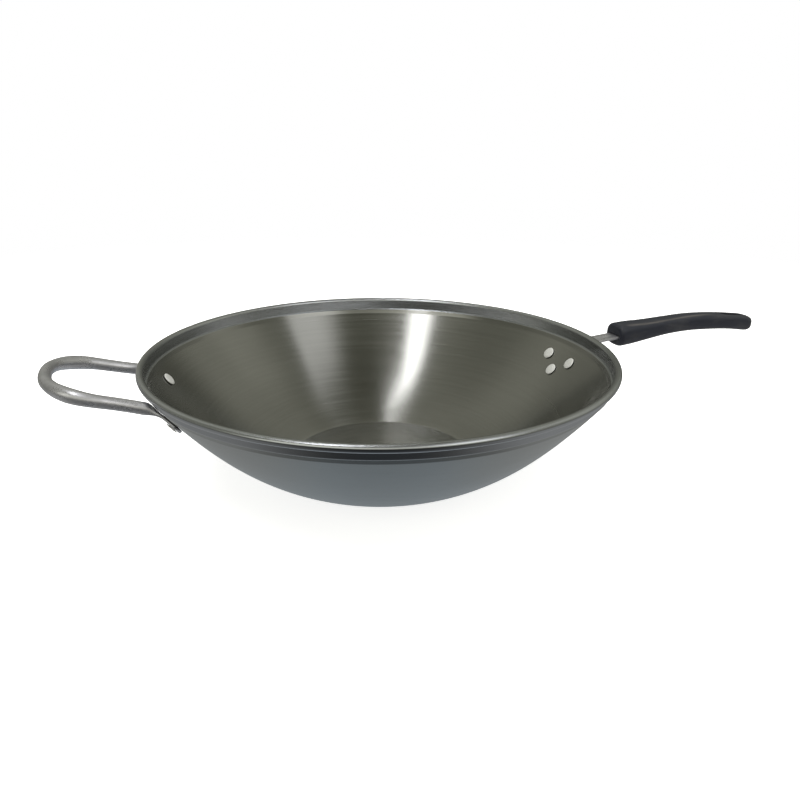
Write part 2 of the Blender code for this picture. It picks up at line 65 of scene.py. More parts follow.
def smooth_step(value: np.ndarray, start: float, end: float) -> np.ndarray:
    """Rise from 0 to 1 between start and end, level at both.

    Args:
        value: Where to read the step.
        start: Value at which the rise begins.
        end: Value at which the rise is over.

    Returns:
        The share 3 t^2 - 2 t^3, with t the clipped distance from start to end.
    """
    share = np.clip((np.asarray(value, float) - start) / (end - start), 0.0, 1.0)
    return share * share * (3.0 - 2.0 * share)


def bezier(points: list, shares: np.ndarray) -> np.ndarray:
    """Cubic curve through the first and last of four points.

    Args:
        points: Four points of any dimension.
        shares: Places along the curve, 0 to 1.

    Returns:
        One point for each share: the Bernstein-weighted sum of the four.
    """
    share = np.asarray(shares, float)[:, None]
    rest = 1.0 - share
    first, second, third, fourth = (np.asarray(point, float) for point in points)
    return (rest ** 3 * first + 3.0 * rest ** 2 * share * second
            + 3.0 * rest * share ** 2 * third + share ** 3 * fourth)


def unit(vectors: np.ndarray) -> np.ndarray:
    """Vectors along the last axis, each divided by its own length."""
    return vectors / np.maximum(np.linalg.norm(vectors, axis=-1, keepdims=True), 1e-12)


def along_line(line: np.ndarray) -> np.ndarray:
    """Distance from a polyline's start to each of its points."""
    steps = np.linalg.norm(np.diff(line, axis=0), axis=1)
    return np.concatenate([[0.0], np.cumsum(steps)])


def rounded_line(points: np.ndarray, radii: list[float], steps: int) -> np.ndarray:
    """Replace the inner corners of a polyline by arcs.

    Each corner becomes the arc that touches both of its runs at radius * tan(half the turn)
    from the corner.

    Args:
        points: Corners of the line, (n, 2).
        radii: Arc radius at each inner corner, n - 2 values.
        steps: Facets in each arc.

    Returns:
        The points of the rounded line.
    """
    line = [points[0]]
    for before, corner, after, radius in zip(points[:-2], points[1:-1], points[2:], radii):
        arrive, leave = unit(corner - before), unit(after - corner)
        turn = math.acos(float(np.clip(arrive @ leave, -1.0, 1.0)))
        reach = radius * math.tan(turn / 2.0)
        left = np.array([-arrive[1], arrive[0]])
        side = math.copysign(1.0, float(left @ leave))
        centre = corner - arrive * reach + left * side * radius
        angles = np.linspace(0.0, turn, steps + 1)[:, None]
        line.extend(centre + radius * (arrive * np.sin(angles) - left * side * np.cos(angles)))
    line.append(points[-1])
    return np.array(line)


def offset_line(line: np.ndarray, distance: float) -> np.ndarray:
    """Shift a polyline of (radius, height) to its left, with mitred corners.

    Args:
        line: Points of the line, (n, 2).
        distance: How far to shift it.

    Returns:
        The shifted points.
    """
    steps = unit(np.diff(line, axis=0))
    normals = np.stack([-steps[:, 1], steps[:, 0]], axis=1)
    before = np.vstack([normals[:1], normals])
    after = np.vstack([normals, normals[-1:]])
    mitre = unit(before + after)
    reach = distance / np.sum(mitre * after, axis=1)
    return line + mitre * reach[:, None]


def grid_quads(rows: int, columns: int, wrap: bool) -> np.ndarray:
    """Corner numbers of the quads of a grid whose points are stored row by row.

    The quad at row i and column j joins (i, j), (i, j + 1), (i + 1, j + 1) and (i + 1, j).

    Args:
        rows: Rows of points.
        columns: Points in each row.
        wrap: Whether each row's last point joins its first.

    Returns:
        An (n, 4) array of point numbers.
    """
    low = np.arange(rows - 1)[:, None] * columns
    here = np.arange(columns if wrap else columns - 1)[None, :]
    beside = (here + 1) % columns
    quads = [low + here, low + beside, low + columns + beside, low + columns + here]
    return np.stack(quads, axis=-1).reshape(-1, 4)


def enclosed_volume(points: np.ndarray, quads: np.ndarray) -> float:
    """Signed volume inside a closed surface: a sixth of the sum of its corners' triple products.

    Args:
        points: Point places, (n, 3).
        quads: Corner numbers, (m, 4).

    Returns:
        The volume, positive where the faces look outwards.
    """
    a, b, c, d = (points[quads[:, i]] for i in range(4))
    first = np.einsum("ij,ij->i", a, np.cross(b, c))
    second = np.einsum("ij,ij->i", a, np.cross(c, d))
    return float(np.sum(first + second) / 6.0)


def make_piece(name: str, points: np.ndarray, quads: np.ndarray, sharp: float = 38.0,
               painted_highlight: np.ndarray | None = None) -> bpy.types.Object:
    """Make an object from a closed skin of quads, weld its seams and turn its faces outwards.

    Args:
        name: The piece's name.
        points: Point places in metres, (n, 3).
        quads: Corner numbers, (m, 4). Quads that meet at a pole may have coinciding corners.
        sharp: Angle in degrees above which an edge is shaded sharp.
        painted_highlight: A number for each point, kept as the attribute wear.

    Returns:
        The new object, at the origin and in the scene's collection.
    """
    if enclosed_volume(points, quads) < 0.0:
        quads = quads[:, ::-1]
    mesh = bpy.data.meshes.new(name)
    mesh.from_pydata(points.tolist(), [], quads.tolist())
    if painted_highlight is not None:
        mesh.attributes.new("painted_highlight", "FLOAT", "POINT").data.foreach_set("value", painted_highlight)
    weld_mesh(mesh)
    mesh.shade_smooth()
    mesh.set_sharp_from_angle(angle=math.radians(sharp))
    piece = bpy.data.objects.new(name, mesh)
    bpy.context.scene.collection.objects.link(piece)
    return piece


def weld_mesh(mesh: bpy.types.Mesh) -> None:
    """Merge the doubled points along a mesh's seams and poles.

    Args:
        mesh: The mesh to weld, changed in place.
    """
    bm = bmesh.new()
    bm.from_mesh(mesh)
    bmesh.ops.remove_doubles(bm, verts=bm.verts, dist=WELD_DISTANCE)
    bm.to_mesh(mesh)
    bm.free()


def turned_skin(profile: np.ndarray, sides: int) -> tuple[np.ndarray, np.ndarray]:
    """Turn a profile about Z.

    A profile point (r, z) at angle a lies at (r cos a, r sin a, z).

    Args:
        profile: Points (radius, height) from one pole to the other, or a closed loop.
        sides: Steps round the axis.

    Returns:
        Points (n, 3) and quads (m, 4).
    """
    angles = np.linspace(0.0, 2.0 * np.pi, sides, endpoint=False)
    radius, height = profile[:, :1], profile[:, 1:]
    points = np.stack([radius * np.cos(angles), radius * np.sin(angles),
                       np.broadcast_to(height, (len(profile), sides))], axis=-1)
    return points.reshape(-1, 3), grid_quads(len(profile), sides, wrap=True)


def ring_skin(rings: np.ndarray) -> tuple[np.ndarray, np.ndarray]:
    """Skin a stack of equal rings, and close both ends with a ring shrunk to its middle.

    Args:
        rings: Ring points, (rings, sides, 3).

    Returns:
        Points (n, 3) and quads (m, 4).
    """
    count, sides = rings.shape[:2]
    start = np.repeat(rings[:1].mean(axis=1, keepdims=True), sides, axis=1)
    end = np.repeat(rings[-1:].mean(axis=1, keepdims=True), sides, axis=1)
    closed = np.concatenate([start, rings, end])
    return closed.reshape(-1, 3), grid_quads(count + 2, sides, wrap=True)


class Graph:
    """A node tree, with short calls for the nodes that the finishes share."""

    def __init__(self, tree: bpy.types.NodeTree, coordinate: str = "Object") -> None:
        """Take a tree, and one output of a Texture Coordinate node as its place."""
        self.tree = tree
        self.place = self.put("ShaderNodeTexCoord", {}).outputs[coordinate]

    def feed(self, socket: bpy.types.NodeSocket, value: object) -> None:
        """Link a socket to another, or set its value.

        Args:
            socket: The input to feed.
            value: An output socket or a plain value.
        """
        if isinstance(value, bpy.types.NodeSocket):
            self.tree.links.new(value, socket)
        else:
            socket.default_value = value

    def put(self, kind: str, sockets: dict, **settings: object) -> bpy.types.Node:
        """Add a node.

        Args:
            kind: The node's type.
            sockets: Values or output sockets for its inputs, by name or number.
            settings: Properties of the node itself.

        Returns:
            The new node.
        """
        node = self.tree.nodes.new(kind)
        for key, value in settings.items():
            setattr(node, key, value)
        for key, value in sockets.items():
            self.feed(node.inputs[key], value)
        return node

    def math(self, operation: str, first: object, second: object = 0.0) -> bpy.types.NodeSocket:
        """One step of arithmetic on numbers."""
        return self.put("ShaderNodeMath", {0: first, 1: second}, operation=operation).outputs[0]

    def product(self, first: object, *others: object) -> bpy.types.NodeSocket:
        """Multiply several numbers.

        Args:
            first: The first number.
            others: The numbers to multiply it by.

        Returns:
            Their product.
        """
        for other in others:
            first = self.math("MULTIPLY", first, other)
        return first

    def vector(self, operation: str, first: object, second: object = (0.0, 0.0, 0.0)) -> bpy.types.Node:
        """One step of arithmetic on vectors."""
        return self.put("ShaderNodeVectorMath", {0: first, 1: second}, operation=operation)

    def scaled(self, vector: object, scale: object) -> bpy.types.NodeSocket:
        """A vector times a number."""
        node = self.put("ShaderNodeVectorMath", {0: vector, "Scale": scale}, operation="SCALE")
        return node.outputs[0]

    def spread(self, value: object, low: float, high: float, to_low: float, to_high: float,
               smooth: bool = True) -> bpy.types.NodeSocket:
        """Map a range of a number onto another range, clamped at its ends.

        Args:
            value: The number.
            low: Start of its range, which may be above the end.
            high: End of its range.
            to_low: Result at the start.
            to_high: Result at the end.
            smooth: Whether the ends are eased.

        Returns:
            The mapped number.
        """
        kind = "SMOOTHSTEP" if smooth else "LINEAR"
        sockets = {"Value": value, "From Min": low, "From Max": high, "To Min": to_low, "To Max": to_high}
        return self.put("ShaderNodeMapRange", sockets, interpolation_type=kind).outputs[0]

    def noise(self, vector: object, scale: float, detail: float = 2.0,
              roughness: float = 0.5) -> bpy.types.NodeSocket:
        """Fractal noise between about 0 and 1."""
        sockets = {"Vector": vector, "Scale": scale, "Detail": detail, "Roughness": roughness}
        return self.put("ShaderNodeTexNoise", sockets).outputs[0]

    def mix(self, factor: object, first: object, second: object) -> bpy.types.NodeSocket:
        """Blend two colours.

        Args:
            factor: Share of the second colour, 0 to 1.
            first: The first colour.
            second: The second colour.

        Returns:
            The blend.
        """
        node = self.put("ShaderNodeMix", {}, data_type="RGBA")
        self.feed(node.inputs[0], factor)
        self.feed(node.inputs[6], colour_value(first))
        self.feed(node.inputs[7], colour_value(second))
        return node.outputs[2]

    def bump(self, height: object, distance: float, strength: float = 1.0,
             base: object = None) -> bpy.types.NodeSocket:
        """Tilt the normal by a height.

        Args:
            height: The height, 1 for a rise of the distance.
            distance: The rise in metres.
            strength: Share of the tilt that is kept.
            base: A normal to tilt, or nothing for the surface's own.

        Returns:
            The tilted normal.
        """
        node = self.put("ShaderNodeBump", {"Height": height, "Distance": distance, "Strength": strength})
        if base is not None:
            self.feed(node.inputs["Normal"], base)
        return node.outputs[0]


class FinishGraph(Graph):
    """The node tree of a new material with one Principled shader."""

    def __init__(self, name: str) -> None:
        """Start the material.

        Args:
            name: The material's name.
        """
        self.material = bpy.data.materials.new(name)
        self.material.use_nodes = True
        super().__init__(self.material.node_tree)
        self.shader = self.tree.nodes["Principled BSDF"]

    def finish(self, **sockets: object) -> bpy.types.Material:
        """Feed the shader's inputs.

        Args:
            sockets: Values by the input's name, with underscores for spaces.

        Returns:
            The material.
        """
        for key, value in sockets.items():
            self.feed(self.shader.inputs[key.replace("_", " ")], colour_value(value))
        return self.material


def colour_value(value: object) -> object:
    """A colour of three numbers with its alpha added, and anything else as it is."""
    return (*value, 1.0) if isinstance(value, tuple) and len(value) == 3 else value


@dataclass(frozen=True)
class SpunSteel:
    """Stainless sheet spun and brushed in circles about the bowl's axis, with a polished rim, and painted
    light: a brighter base and a brighter, bluer outside and rim.
    """

    rim_start: float
    base_radius: float
    # Painted light: the inside colour is raised by this factor on the flat base, so that the base reads
    # brighter.
    base_painted_light: float = 1.3
    base_blend: float = 7.0 * MM
    # One steel in three painted tones: the outside and the rim are painted bluer and brighter than the
    # inside, as painted reflections and highlights.
    inside: tuple = (0.34, 0.34, 0.33)
    outside: tuple = (0.39, 0.405, 0.41)
    rim: tuple = (0.5, 0.515, 0.545)
    roughness: float = 0.245
    outside_roughness: float = 0.2
    rim_roughness: float = 0.2
    rim_blend: float = 0.4 * MM
    anisotropy: float = 0.9
    line_pitch: float = 0.8 * MM
    line_depth: float = 0.0003 * MM
    line_turns: float = 2.2
    band_pitch: float = 3.4 * MM
    band_turns: float = 1.3
    cloud_scale: float = 14.0
    dent_depth: float = 0.05 * MM

    def material(self) -> bpy.types.Material:
        """Build the finish.

        The pattern's coordinate is (direction round the axis, radius + height): noise along it
        gives rings that are long round the bowl and narrow up the wall.

        Returns:
            The node material.
        """
        graph = FinishGraph("spun_steel")
        split = graph.put("ShaderNodeSeparateXYZ", {0: graph.place})
        level = {0: split.outputs[0], 1: split.outputs[1], 2: 0.0}
        flat = graph.put("ShaderNodeCombineXYZ", level).outputs[0]
        radius = graph.vector("LENGTH", flat).outputs[1]
        outward = graph.vector("NORMALIZE", flat).outputs[0]
        climb = graph.math("ADD", radius, split.outputs[2])
        up = (0.0, 0.0, 1.0)

        def rings(pitch: float, turns: float, detail: float) -> bpy.types.NodeSocket:
            """Noise in rings round the bowl.

            Args:
                pitch: Width of its features up the wall.
                turns: Features in a radian round the wall.
                detail: Finer layers of the noise.

            Returns:
                The noise, between about 0 and 1.
            """
            height = graph.scaled(up, graph.math("DIVIDE", climb, pitch))
            place = graph.vector("ADD", graph.scaled(outward, turns), height).outputs[0]
            return graph.noise(place, 1.0, detail, 0.6)

        lines = rings(self.line_pitch, self.line_turns, 3.0)
        bands = rings(self.band_pitch, self.band_turns, 2.0)
        cloud = graph.noise(graph.place, self.cloud_scale, 3.0, 0.55)

        normal = graph.put("ShaderNodeNewGeometry", {}).outputs["Normal"]
        lean = graph.math("SUBTRACT", graph.vector("DOT_PRODUCT", normal, up).outputs[1],
                          graph.vector("DOT_PRODUCT", normal, outward).outputs[1])
        # Painted reflection: the colour changes with which way the sheet faces, and the outside takes the
        # brighter, bluer tone.
        inner = graph.spread(lean, -0.25, 0.25, 0.0, 1.0)
        # Painted light: the inside's colour is brightened on the flat base.
        base = graph.spread(radius, self.base_radius - self.base_blend, self.base_radius + self.base_blend,
                            self.base_painted_light, 1.0)
        tone = graph.mix(inner, self.outside, graph.scaled(self.inside, base))
        # Painted highlight and reflection: the rim above the ledge takes the brighter, bluer rim colour.
        rim = graph.spread(split.outputs[2], self.rim_start - self.rim_blend,
                           self.rim_start + self.rim_blend, 0.0, 1.0)
        tone = graph.mix(rim, tone, self.rim)
        satin = graph.spread(inner, 0.0, 1.0, self.outside_roughness, self.roughness)
        satin = graph.spread(rim, 0.0, 1.0, satin, self.rim_roughness)
        worn = graph.math("ADD", graph.spread(bands, 0.3, 0.7, 0.965, 1.025),
                          graph.spread(cloud, 0.3, 0.7, -0.03, 0.03))
        colour = graph.scaled(tone, worn)
        rough = graph.math("ADD", graph.spread(lines, 0.25, 0.75, -0.01, 0.012),
                           graph.spread(bands, 0.25, 0.75, -0.014, 0.02))
        circle = graph.vector("CROSS_PRODUCT", up, outward).outputs[0]
        dented = graph.bump(cloud, self.dent_depth, 0.35)
        brushed = graph.bump(lines, self.line_depth, 1.0, dented)
        return graph.finish(
            Base_Color=colour, Metallic=1.0, Roughness=graph.math("ADD", rough, satin),
            Anisotropic=self.anisotropy, Anisotropic_Rotation=graph.spread(rim, 0.0, 1.0, 0.25, 0.0),
            Tangent=circle, Normal=brushed)


@dataclass(frozen=True)
class PolishedSteel:
    """Bright stainless rod and strap, with the dull patches of tumbling and handling."""

    name: str = "polished_steel"
    colour: tuple = (0.575, 0.57, 0.60)
    dull: tuple = (0.475, 0.475, 0.495)
    metallic: float = 0.88
    roughness: float = 0.28
    wave_size: float = 7.0 * MM
    wave_depth: float = 0.06 * MM
    grain_size: float = 0.5 * MM
    grain_depth: float = 0.0022 * MM

    def material(self) -> bpy.types.Material:
        """Build the finish: slow waves from bending, a fine grain, and duller blotches.

        Returns:
            The node material.
        """
        graph = FinishGraph(self.name)
        waves = graph.noise(graph.place, 1.0 / self.wave_size, 2.0, 0.5)
        stretch = graph.put("ShaderNodeMapping", {0: graph.place, 3: (0.12, 1.0, 1.0)}).outputs[0]
        grain = graph.noise(stretch, 1.0 / self.grain_size, 3.0, 0.6)
        blotch = graph.noise(graph.place, 0.5 / self.wave_size, 4.0, 0.65)
        dullness = graph.spread(blotch, 0.42, 0.68, 0.0, 1.0)
        colour = graph.mix(dullness, self.colour, self.dull)
        rough = graph.math("ADD", graph.spread(grain, 0.3, 0.7, -0.04, 0.07),
                           graph.spread(blotch, 0.4, 0.7, 0.0, 0.14))
        bent = graph.bump(waves, self.wave_depth, 0.6)
        normal = graph.bump(grain, self.grain_depth, 1.0, bent)
        return graph.finish(Base_Color=colour, Metallic=self.metallic, Normal=normal,
                            Roughness=graph.math("ADD", rough, self.roughness))


@dataclass(frozen=True)
class RivetSteel:
    """Set rivets, matt from the hammer."""

    colour: tuple = (0.86, 0.86, 0.84)
    shade: tuple = (0.66, 0.66, 0.64)
    roughness: float = 0.5
    metallic: float = 0.6

    def material(self) -> bpy.types.Material:
        """Build the finish: a fine hammered skin with darker pits.

        Returns:
            The node material.
        """
        graph = FinishGraph("rivet_steel")
        dimples = graph.noise(graph.place, 900.0, 2.0, 0.5)
        pits = graph.noise(graph.place, 2600.0, 3.0, 0.6)
        colour = graph.mix(graph.spread(pits, 0.35, 0.65, 0.0, 1.0), self.shade, self.colour)
        rough = graph.math("ADD", graph.spread(dimples, 0.3, 0.7, -0.06, 0.08), self.roughness)
        hammered = graph.bump(dimples, 0.12 * MM, 0.5)
        return graph.finish(Base_Color=colour, Metallic=self.metallic, Roughness=rough,
                            Normal=graph.bump(pits, 0.01 * MM, 1.0, hammered))


@dataclass(frozen=True)
class BlackPhenolic:
    """Moulded black grip, satin, with a faint mottle, rubbed patches and a painted highlight along its upper
    shoulders.
    """

    colour: tuple = (0.013, 0.0145, 0.022)
    rubbed: tuple = (0.03, 0.03, 0.034)
    # Colour of the painted highlight along the upper shoulders, laid where the grip's mesh attribute for it
    # is high.
    worn: tuple = (0.072, 0.067, 0.064)
    roughness: float = 0.38

    def material(self) -> bpy.types.Material:
        """Build the finish: orange-peel skin, flow marks along the grip, rubbed patches and a painted
        highlight along the upper shoulders.

        Returns:
            The node material.
        """
        graph = FinishGraph("black_phenolic")
        flow = graph.put("ShaderNodeMapping", {0: graph.place, 3: (0.25, 1.0, 1.0)}).outputs[0]
        marks = graph.noise(flow, 160.0, 4.0, 0.6)
        peel = graph.noise(graph.place, 1500.0, 2.0, 0.5)
        speck = graph.noise(graph.place, 5200.0, 2.0, 0.5)
        rub = graph.spread(marks, 0.45, 0.75, 0.0, 0.8)
        # Painted highlight: the shoulder line read from the mesh attribute, broken up by the flow marks,
        # takes the lighter colour.
        painted_highlight = graph.put("ShaderNodeAttribute", {}, attribute_name="painted_highlight").outputs["Fac"]
        ragged_highlight = graph.math("MULTIPLY", painted_highlight, graph.spread(marks, 0.35, 0.6, 0.35, 1.0))
        colour = graph.mix(ragged_highlight, graph.mix(rub, self.colour, self.rubbed), self.worn)
        rough = graph.math("ADD", graph.spread(marks, 0.3, 0.7, -0.05, 0.07),
                           graph.spread(speck, 0.3, 0.7, self.roughness - 0.03, self.roughness + 0.05))
        skin = graph.bump(peel, 0.02 * MM, 0.6)
        return graph.finish(Base_Color=colour, Roughness=rough, Specular_IOR_Level=0.45,
                            Normal=graph.bump(speck, 0.004 * MM, 0.8, skin))


@dataclass(frozen=True)
class PaleFloor:
    """Plain pale studio floor that glows a little and fades out towards its edge."""

    colour: tuple = (0.9, 0.9, 0.9)
    glow: float = 0.8
    fade_start: float = 0.55
    fade_end: float = 1.3

    def material(self) -> bpy.types.Material:
        """Build the floor's finish, with an opacity that falls with the distance from the wok.

        Returns:
            The node material.
        """
        graph = FinishGraph("pale_floor")
        mottle = graph.noise(graph.place, 9.0, 3.0, 0.5)
        colour = graph.mix(mottle, self.colour, tuple(0.985 * c for c in self.colour))
        distance = graph.vector("LENGTH", graph.place).outputs[1]
        cover = graph.spread(distance, self.fade_start, self.fade_end, 1.0, 0.0)
        return graph.finish(Base_Color=colour, Roughness=0.85, Specular_IOR_Level=0.2, Alpha=cover,
                            Emission_Color=(1.0, 1.0, 1.0), Emission_Strength=self.glow)


def dress(piece: bpy.types.Object, material: bpy.types.Material, slot: str, *nodes: str) -> bpy.types.Object:
    """Give a piece its material, let it ride on the root and stand for its solids.

    Args:
        piece: The finished object.
        material: Its material.
        slot: The record's material slot; not used.
        nodes: Names of the solids that it replaces.

    Returns:
        The same piece.
    """
    piece.data.materials.clear()
    piece.data.materials.append(material)
    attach(piece, "root")
    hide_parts(*nodes)
    triangles = sum(len(face.vertices) - 2 for face in piece.data.polygons)
    LOG.info("%s stands for %s, %d triangles", piece.name, ", ".join(nodes), triangles)
    return piece


@dataclass
class Bowl:
    """The spun bowl: flat base, curved wall, step, collar and rolled rim bead."""

    sheet: float = 1.0 * MM
    base_radius: float = 75.5 * MM
    foot_slope: float = math.radians(22.3)
    wall_slope: float = math.radians(51.7)
    fullness: float = 0.375
    bead_radius: float = 2.75 * MM
    curl_turn: float = math.radians(295.0)
    collar_depth: float = 8.1 * MM
    ledge_width: float = 1.6 * MM
    step_depth: float = 3.6 * MM
    step_run: float = 1.6 * MM
    base_fillet: float = 5.0 * MM
    step_fillet: float = 3.0 * MM
    rim_fillet: float = 0.9 * MM
    sides: int = 288
    rim_radius: float = field(init=False)
    bead_height: float = field(init=False)

    def __post_init__(self) -> None:
        """Take the rim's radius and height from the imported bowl."""
        _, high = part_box("bowl")
        self.rim_radius = high.x
        self.bead_height = high.z - self.bead_radius

    @property
    def collar_radius(self) -> float:
        """Radius of the collar's middle line, under the bead's inner edge."""
        return self.rim_radius - 2.0 * self.bead_radius + self.sheet / 2.0

    @property
    def ledge_height(self) -> float:
        """Height of the ledge's middle line."""
        return self.bead_height - self.collar_depth

    def wall_middle(self, shares: np.ndarray) -> np.ndarray:
        """Middle of the wall's sheet: a cubic from the base to the step.

        Args:
            shares: Places along the wall, 0 at the base and 1 at the step.

        Returns:
            Points (radius, height).
        """
        foot = np.array([self.base_radius, self.sheet / 2.0])
        top = np.array([self.collar_radius - self.ledge_width - self.step_run,
                        self.ledge_height - self.step_depth])
        handle = self.fullness * np.linalg.norm(top - foot)
        leave = foot + handle * np.array([math.cos(self.foot_slope), math.sin(self.foot_slope)])
        arrive = top - handle * np.array([math.cos(self.wall_slope), math.sin(self.wall_slope)])
        return bezier([foot, leave, arrive, top], shares)

    def wall_at(self, drop: np.ndarray) -> tuple[np.ndarray, np.ndarray, np.ndarray]:
        """Read the wall's outer face.

        Args:
            drop: Drops below the bead's centre.

        Returns:
            Radius, height and slope at each drop.
        """
        middle = self.wall_middle(np.linspace(0.0, 1.0, 800))
        run = unit(np.gradient(middle, axis=0))
        outer = middle + np.stack([run[:, 1], -run[:, 0]], axis=1) * self.sheet / 2.0
        height = self.bead_height - np.asarray(drop, float)
        radius = np.interp(height, outer[:, 1], outer[:, 0])
        slope = np.interp(height, outer[:, 1], np.arctan2(run[:, 1], run[:, 0]))
        return radius, height, slope

    def wall_frame(self, drop: float, across: float, side: Side) -> tuple[np.ndarray, ...]:
        """Point on the wall's outer face, with its directions.

        Args:
            drop: Drop below the bead's centre.
            across: The point's Y.
            side: Which side of the bowl.

        Returns:
            The point, its outward normal, and the uphill and sideways directions.
        """
        radius, height, slope = (float(value) for value in self.wall_at(drop))
        turn = math.asin(across / radius)
        out = np.array([side.value * math.cos(turn), math.sin(turn), 0.0])
        point = out * radius + np.array([0.0, 0.0, height])
        normal = out * math.sin(slope) - np.array([0.0, 0.0, math.cos(slope)])
        uphill = out * math.cos(slope) + np.array([0.0, 0.0, math.sin(slope)])
        return point, normal, uphill, np.cross(uphill, normal)

    def profile(self) -> np.ndarray:
        """Closed section, from the inside of the base's centre round the rim to its underside.

        The middle line is the base, the wall's cubic, the step, the ledge and the collar, with
        rounded corners. Each face lies half a sheet from it, and the bead is an arc of curl_turn.

        Returns:
            Points (radius, height).
        """
        wall = self.wall_middle(np.linspace(0.0, 1.0, 72))
        foot = rounded_line(np.array([[0.0, self.sheet / 2.0], wall[0], wall[8]]), [self.base_fillet], 10)
        base = np.stack([np.linspace(0.0, foot[1, 0], 16), np.full(16, self.sheet / 2.0)], axis=1)
        ledge = self.collar_radius - self.ledge_width
        rim = rounded_line(np.array([
            wall[-6], wall[-1], [ledge, self.ledge_height], [self.collar_radius, self.ledge_height],
            [self.collar_radius, self.bead_height]]), [self.step_fillet, self.rim_fillet, self.rim_fillet], 7)
        middle = np.vstack([base[:-1], foot[1:-1], wall[9:-6], rim])
        inside = offset_line(middle, self.sheet / 2.0)
        outside = offset_line(middle, -self.sheet / 2.0)
        angles = math.pi - self.curl_turn * np.linspace(0.0, 1.0, 46)[1:]
        centre = np.array([self.rim_radius - self.bead_radius, self.bead_height])
        circle = np.stack([np.cos(angles), np.sin(angles)], axis=1)
        curl = np.vstack([centre + self.bead_radius * circle,
                          (centre + (self.bead_radius - self.sheet) * circle)[::-1]])
        return np.vstack([inside, curl, outside[::-1]])

    def build(self, steel: bpy.types.Material) -> bpy.types.Object:
        """Turn the profile about the axis and dress the bowl."""
        points, quads = turned_skin(self.profile(), self.sides)
        return dress(make_piece("spun_bowl", points, quads), steel, "spun_steel", "bowl")


@dataclass
class Rivet:
    """A set rivet: full head inside the bowl, lower head outside, shank between."""

    name: str
    node: str
    drop: float
    across: float
    side: Side
    stack: float
    shank_radius: float = 2.4 * MM
    head_radius: float = 5.05 * MM
    head_height: float = 1.3 * MM
    edge_share: float = 0.42
    outer_share: float = 0.86
    outer_height_share: float = 0.78
    gap: float = 0.3 * MM
    inner_gap_share: float = 1.3
    sides: int = 56

    def head(self, radius: float, height: float) -> np.ndarray:
        """Half section of a head standing on height 0: a rounded edge, then a low dome.

        The edge is a quarter circle from the seat out to the widest point, and the dome a quarter
        ellipse from there in to the axis.

        Args:
            radius: The head's radius.
            height: Its height at the middle.

        Returns:
            Points (radius, height) from the seat's edge to the axis.
        """
        angles = np.radians(np.linspace(-90.0, 0.0, 13))
        edge = self.edge_share * height
        round_part = np.stack([radius - edge + edge * np.cos(angles),
                               edge + edge * np.sin(angles)], axis=1)
        turn = np.linspace(0.0, 1.0, 22)[1:]
        dome = np.stack([radius * np.cos(0.5 * np.pi * turn),
                         edge + (height - edge) * np.sin(0.5 * np.pi * turn)], axis=1)
        return np.vstack([round_part, dome])

    def profile(self, sheet: float) -> np.ndarray:
        """Section along the rivet's axis, from the outer head's middle to the inner head's.

        Args:
            sheet: Thickness of the bowl's sheet.

        Returns:
            Points (radius, height), with height 0 on the wall's outer face.
        """
        outer_seat = self.stack + self.gap
        inner_seat = -sheet - self.inner_gap_share * self.gap
        outer = self.head(self.head_radius * self.outer_share, self.outer_height_share * self.head_height)
        inner = self.head(self.head_radius, self.head_height)
        outer[:, 1] += outer_seat
        inner[:, 1] = inner_seat - inner[:, 1]
        shank = np.array([[self.shank_radius, outer_seat], [self.shank_radius, inner_seat]])
        return np.vstack([outer[::-1], shank, inner])

    def build(self, bowl: Bowl, steel: bpy.types.Material) -> bpy.types.Object:
        """Turn the section, stand it on the wall's outer face and dress it.

        Args:
            bowl: The bowl that it holds.
            steel: Its material.

        Returns:
            The finished rivet.
        """
        point, normal, uphill, _ = bowl.wall_frame(self.drop, self.across, self.side)
        points, quads = turned_skin(self.profile(bowl.sheet), self.sides)
        axes = np.stack([uphill, np.cross(normal, uphill), normal])
        piece = make_piece(self.name, points @ axes + point, quads)
        return dress(piece, steel, "rivet_steel", self.node)


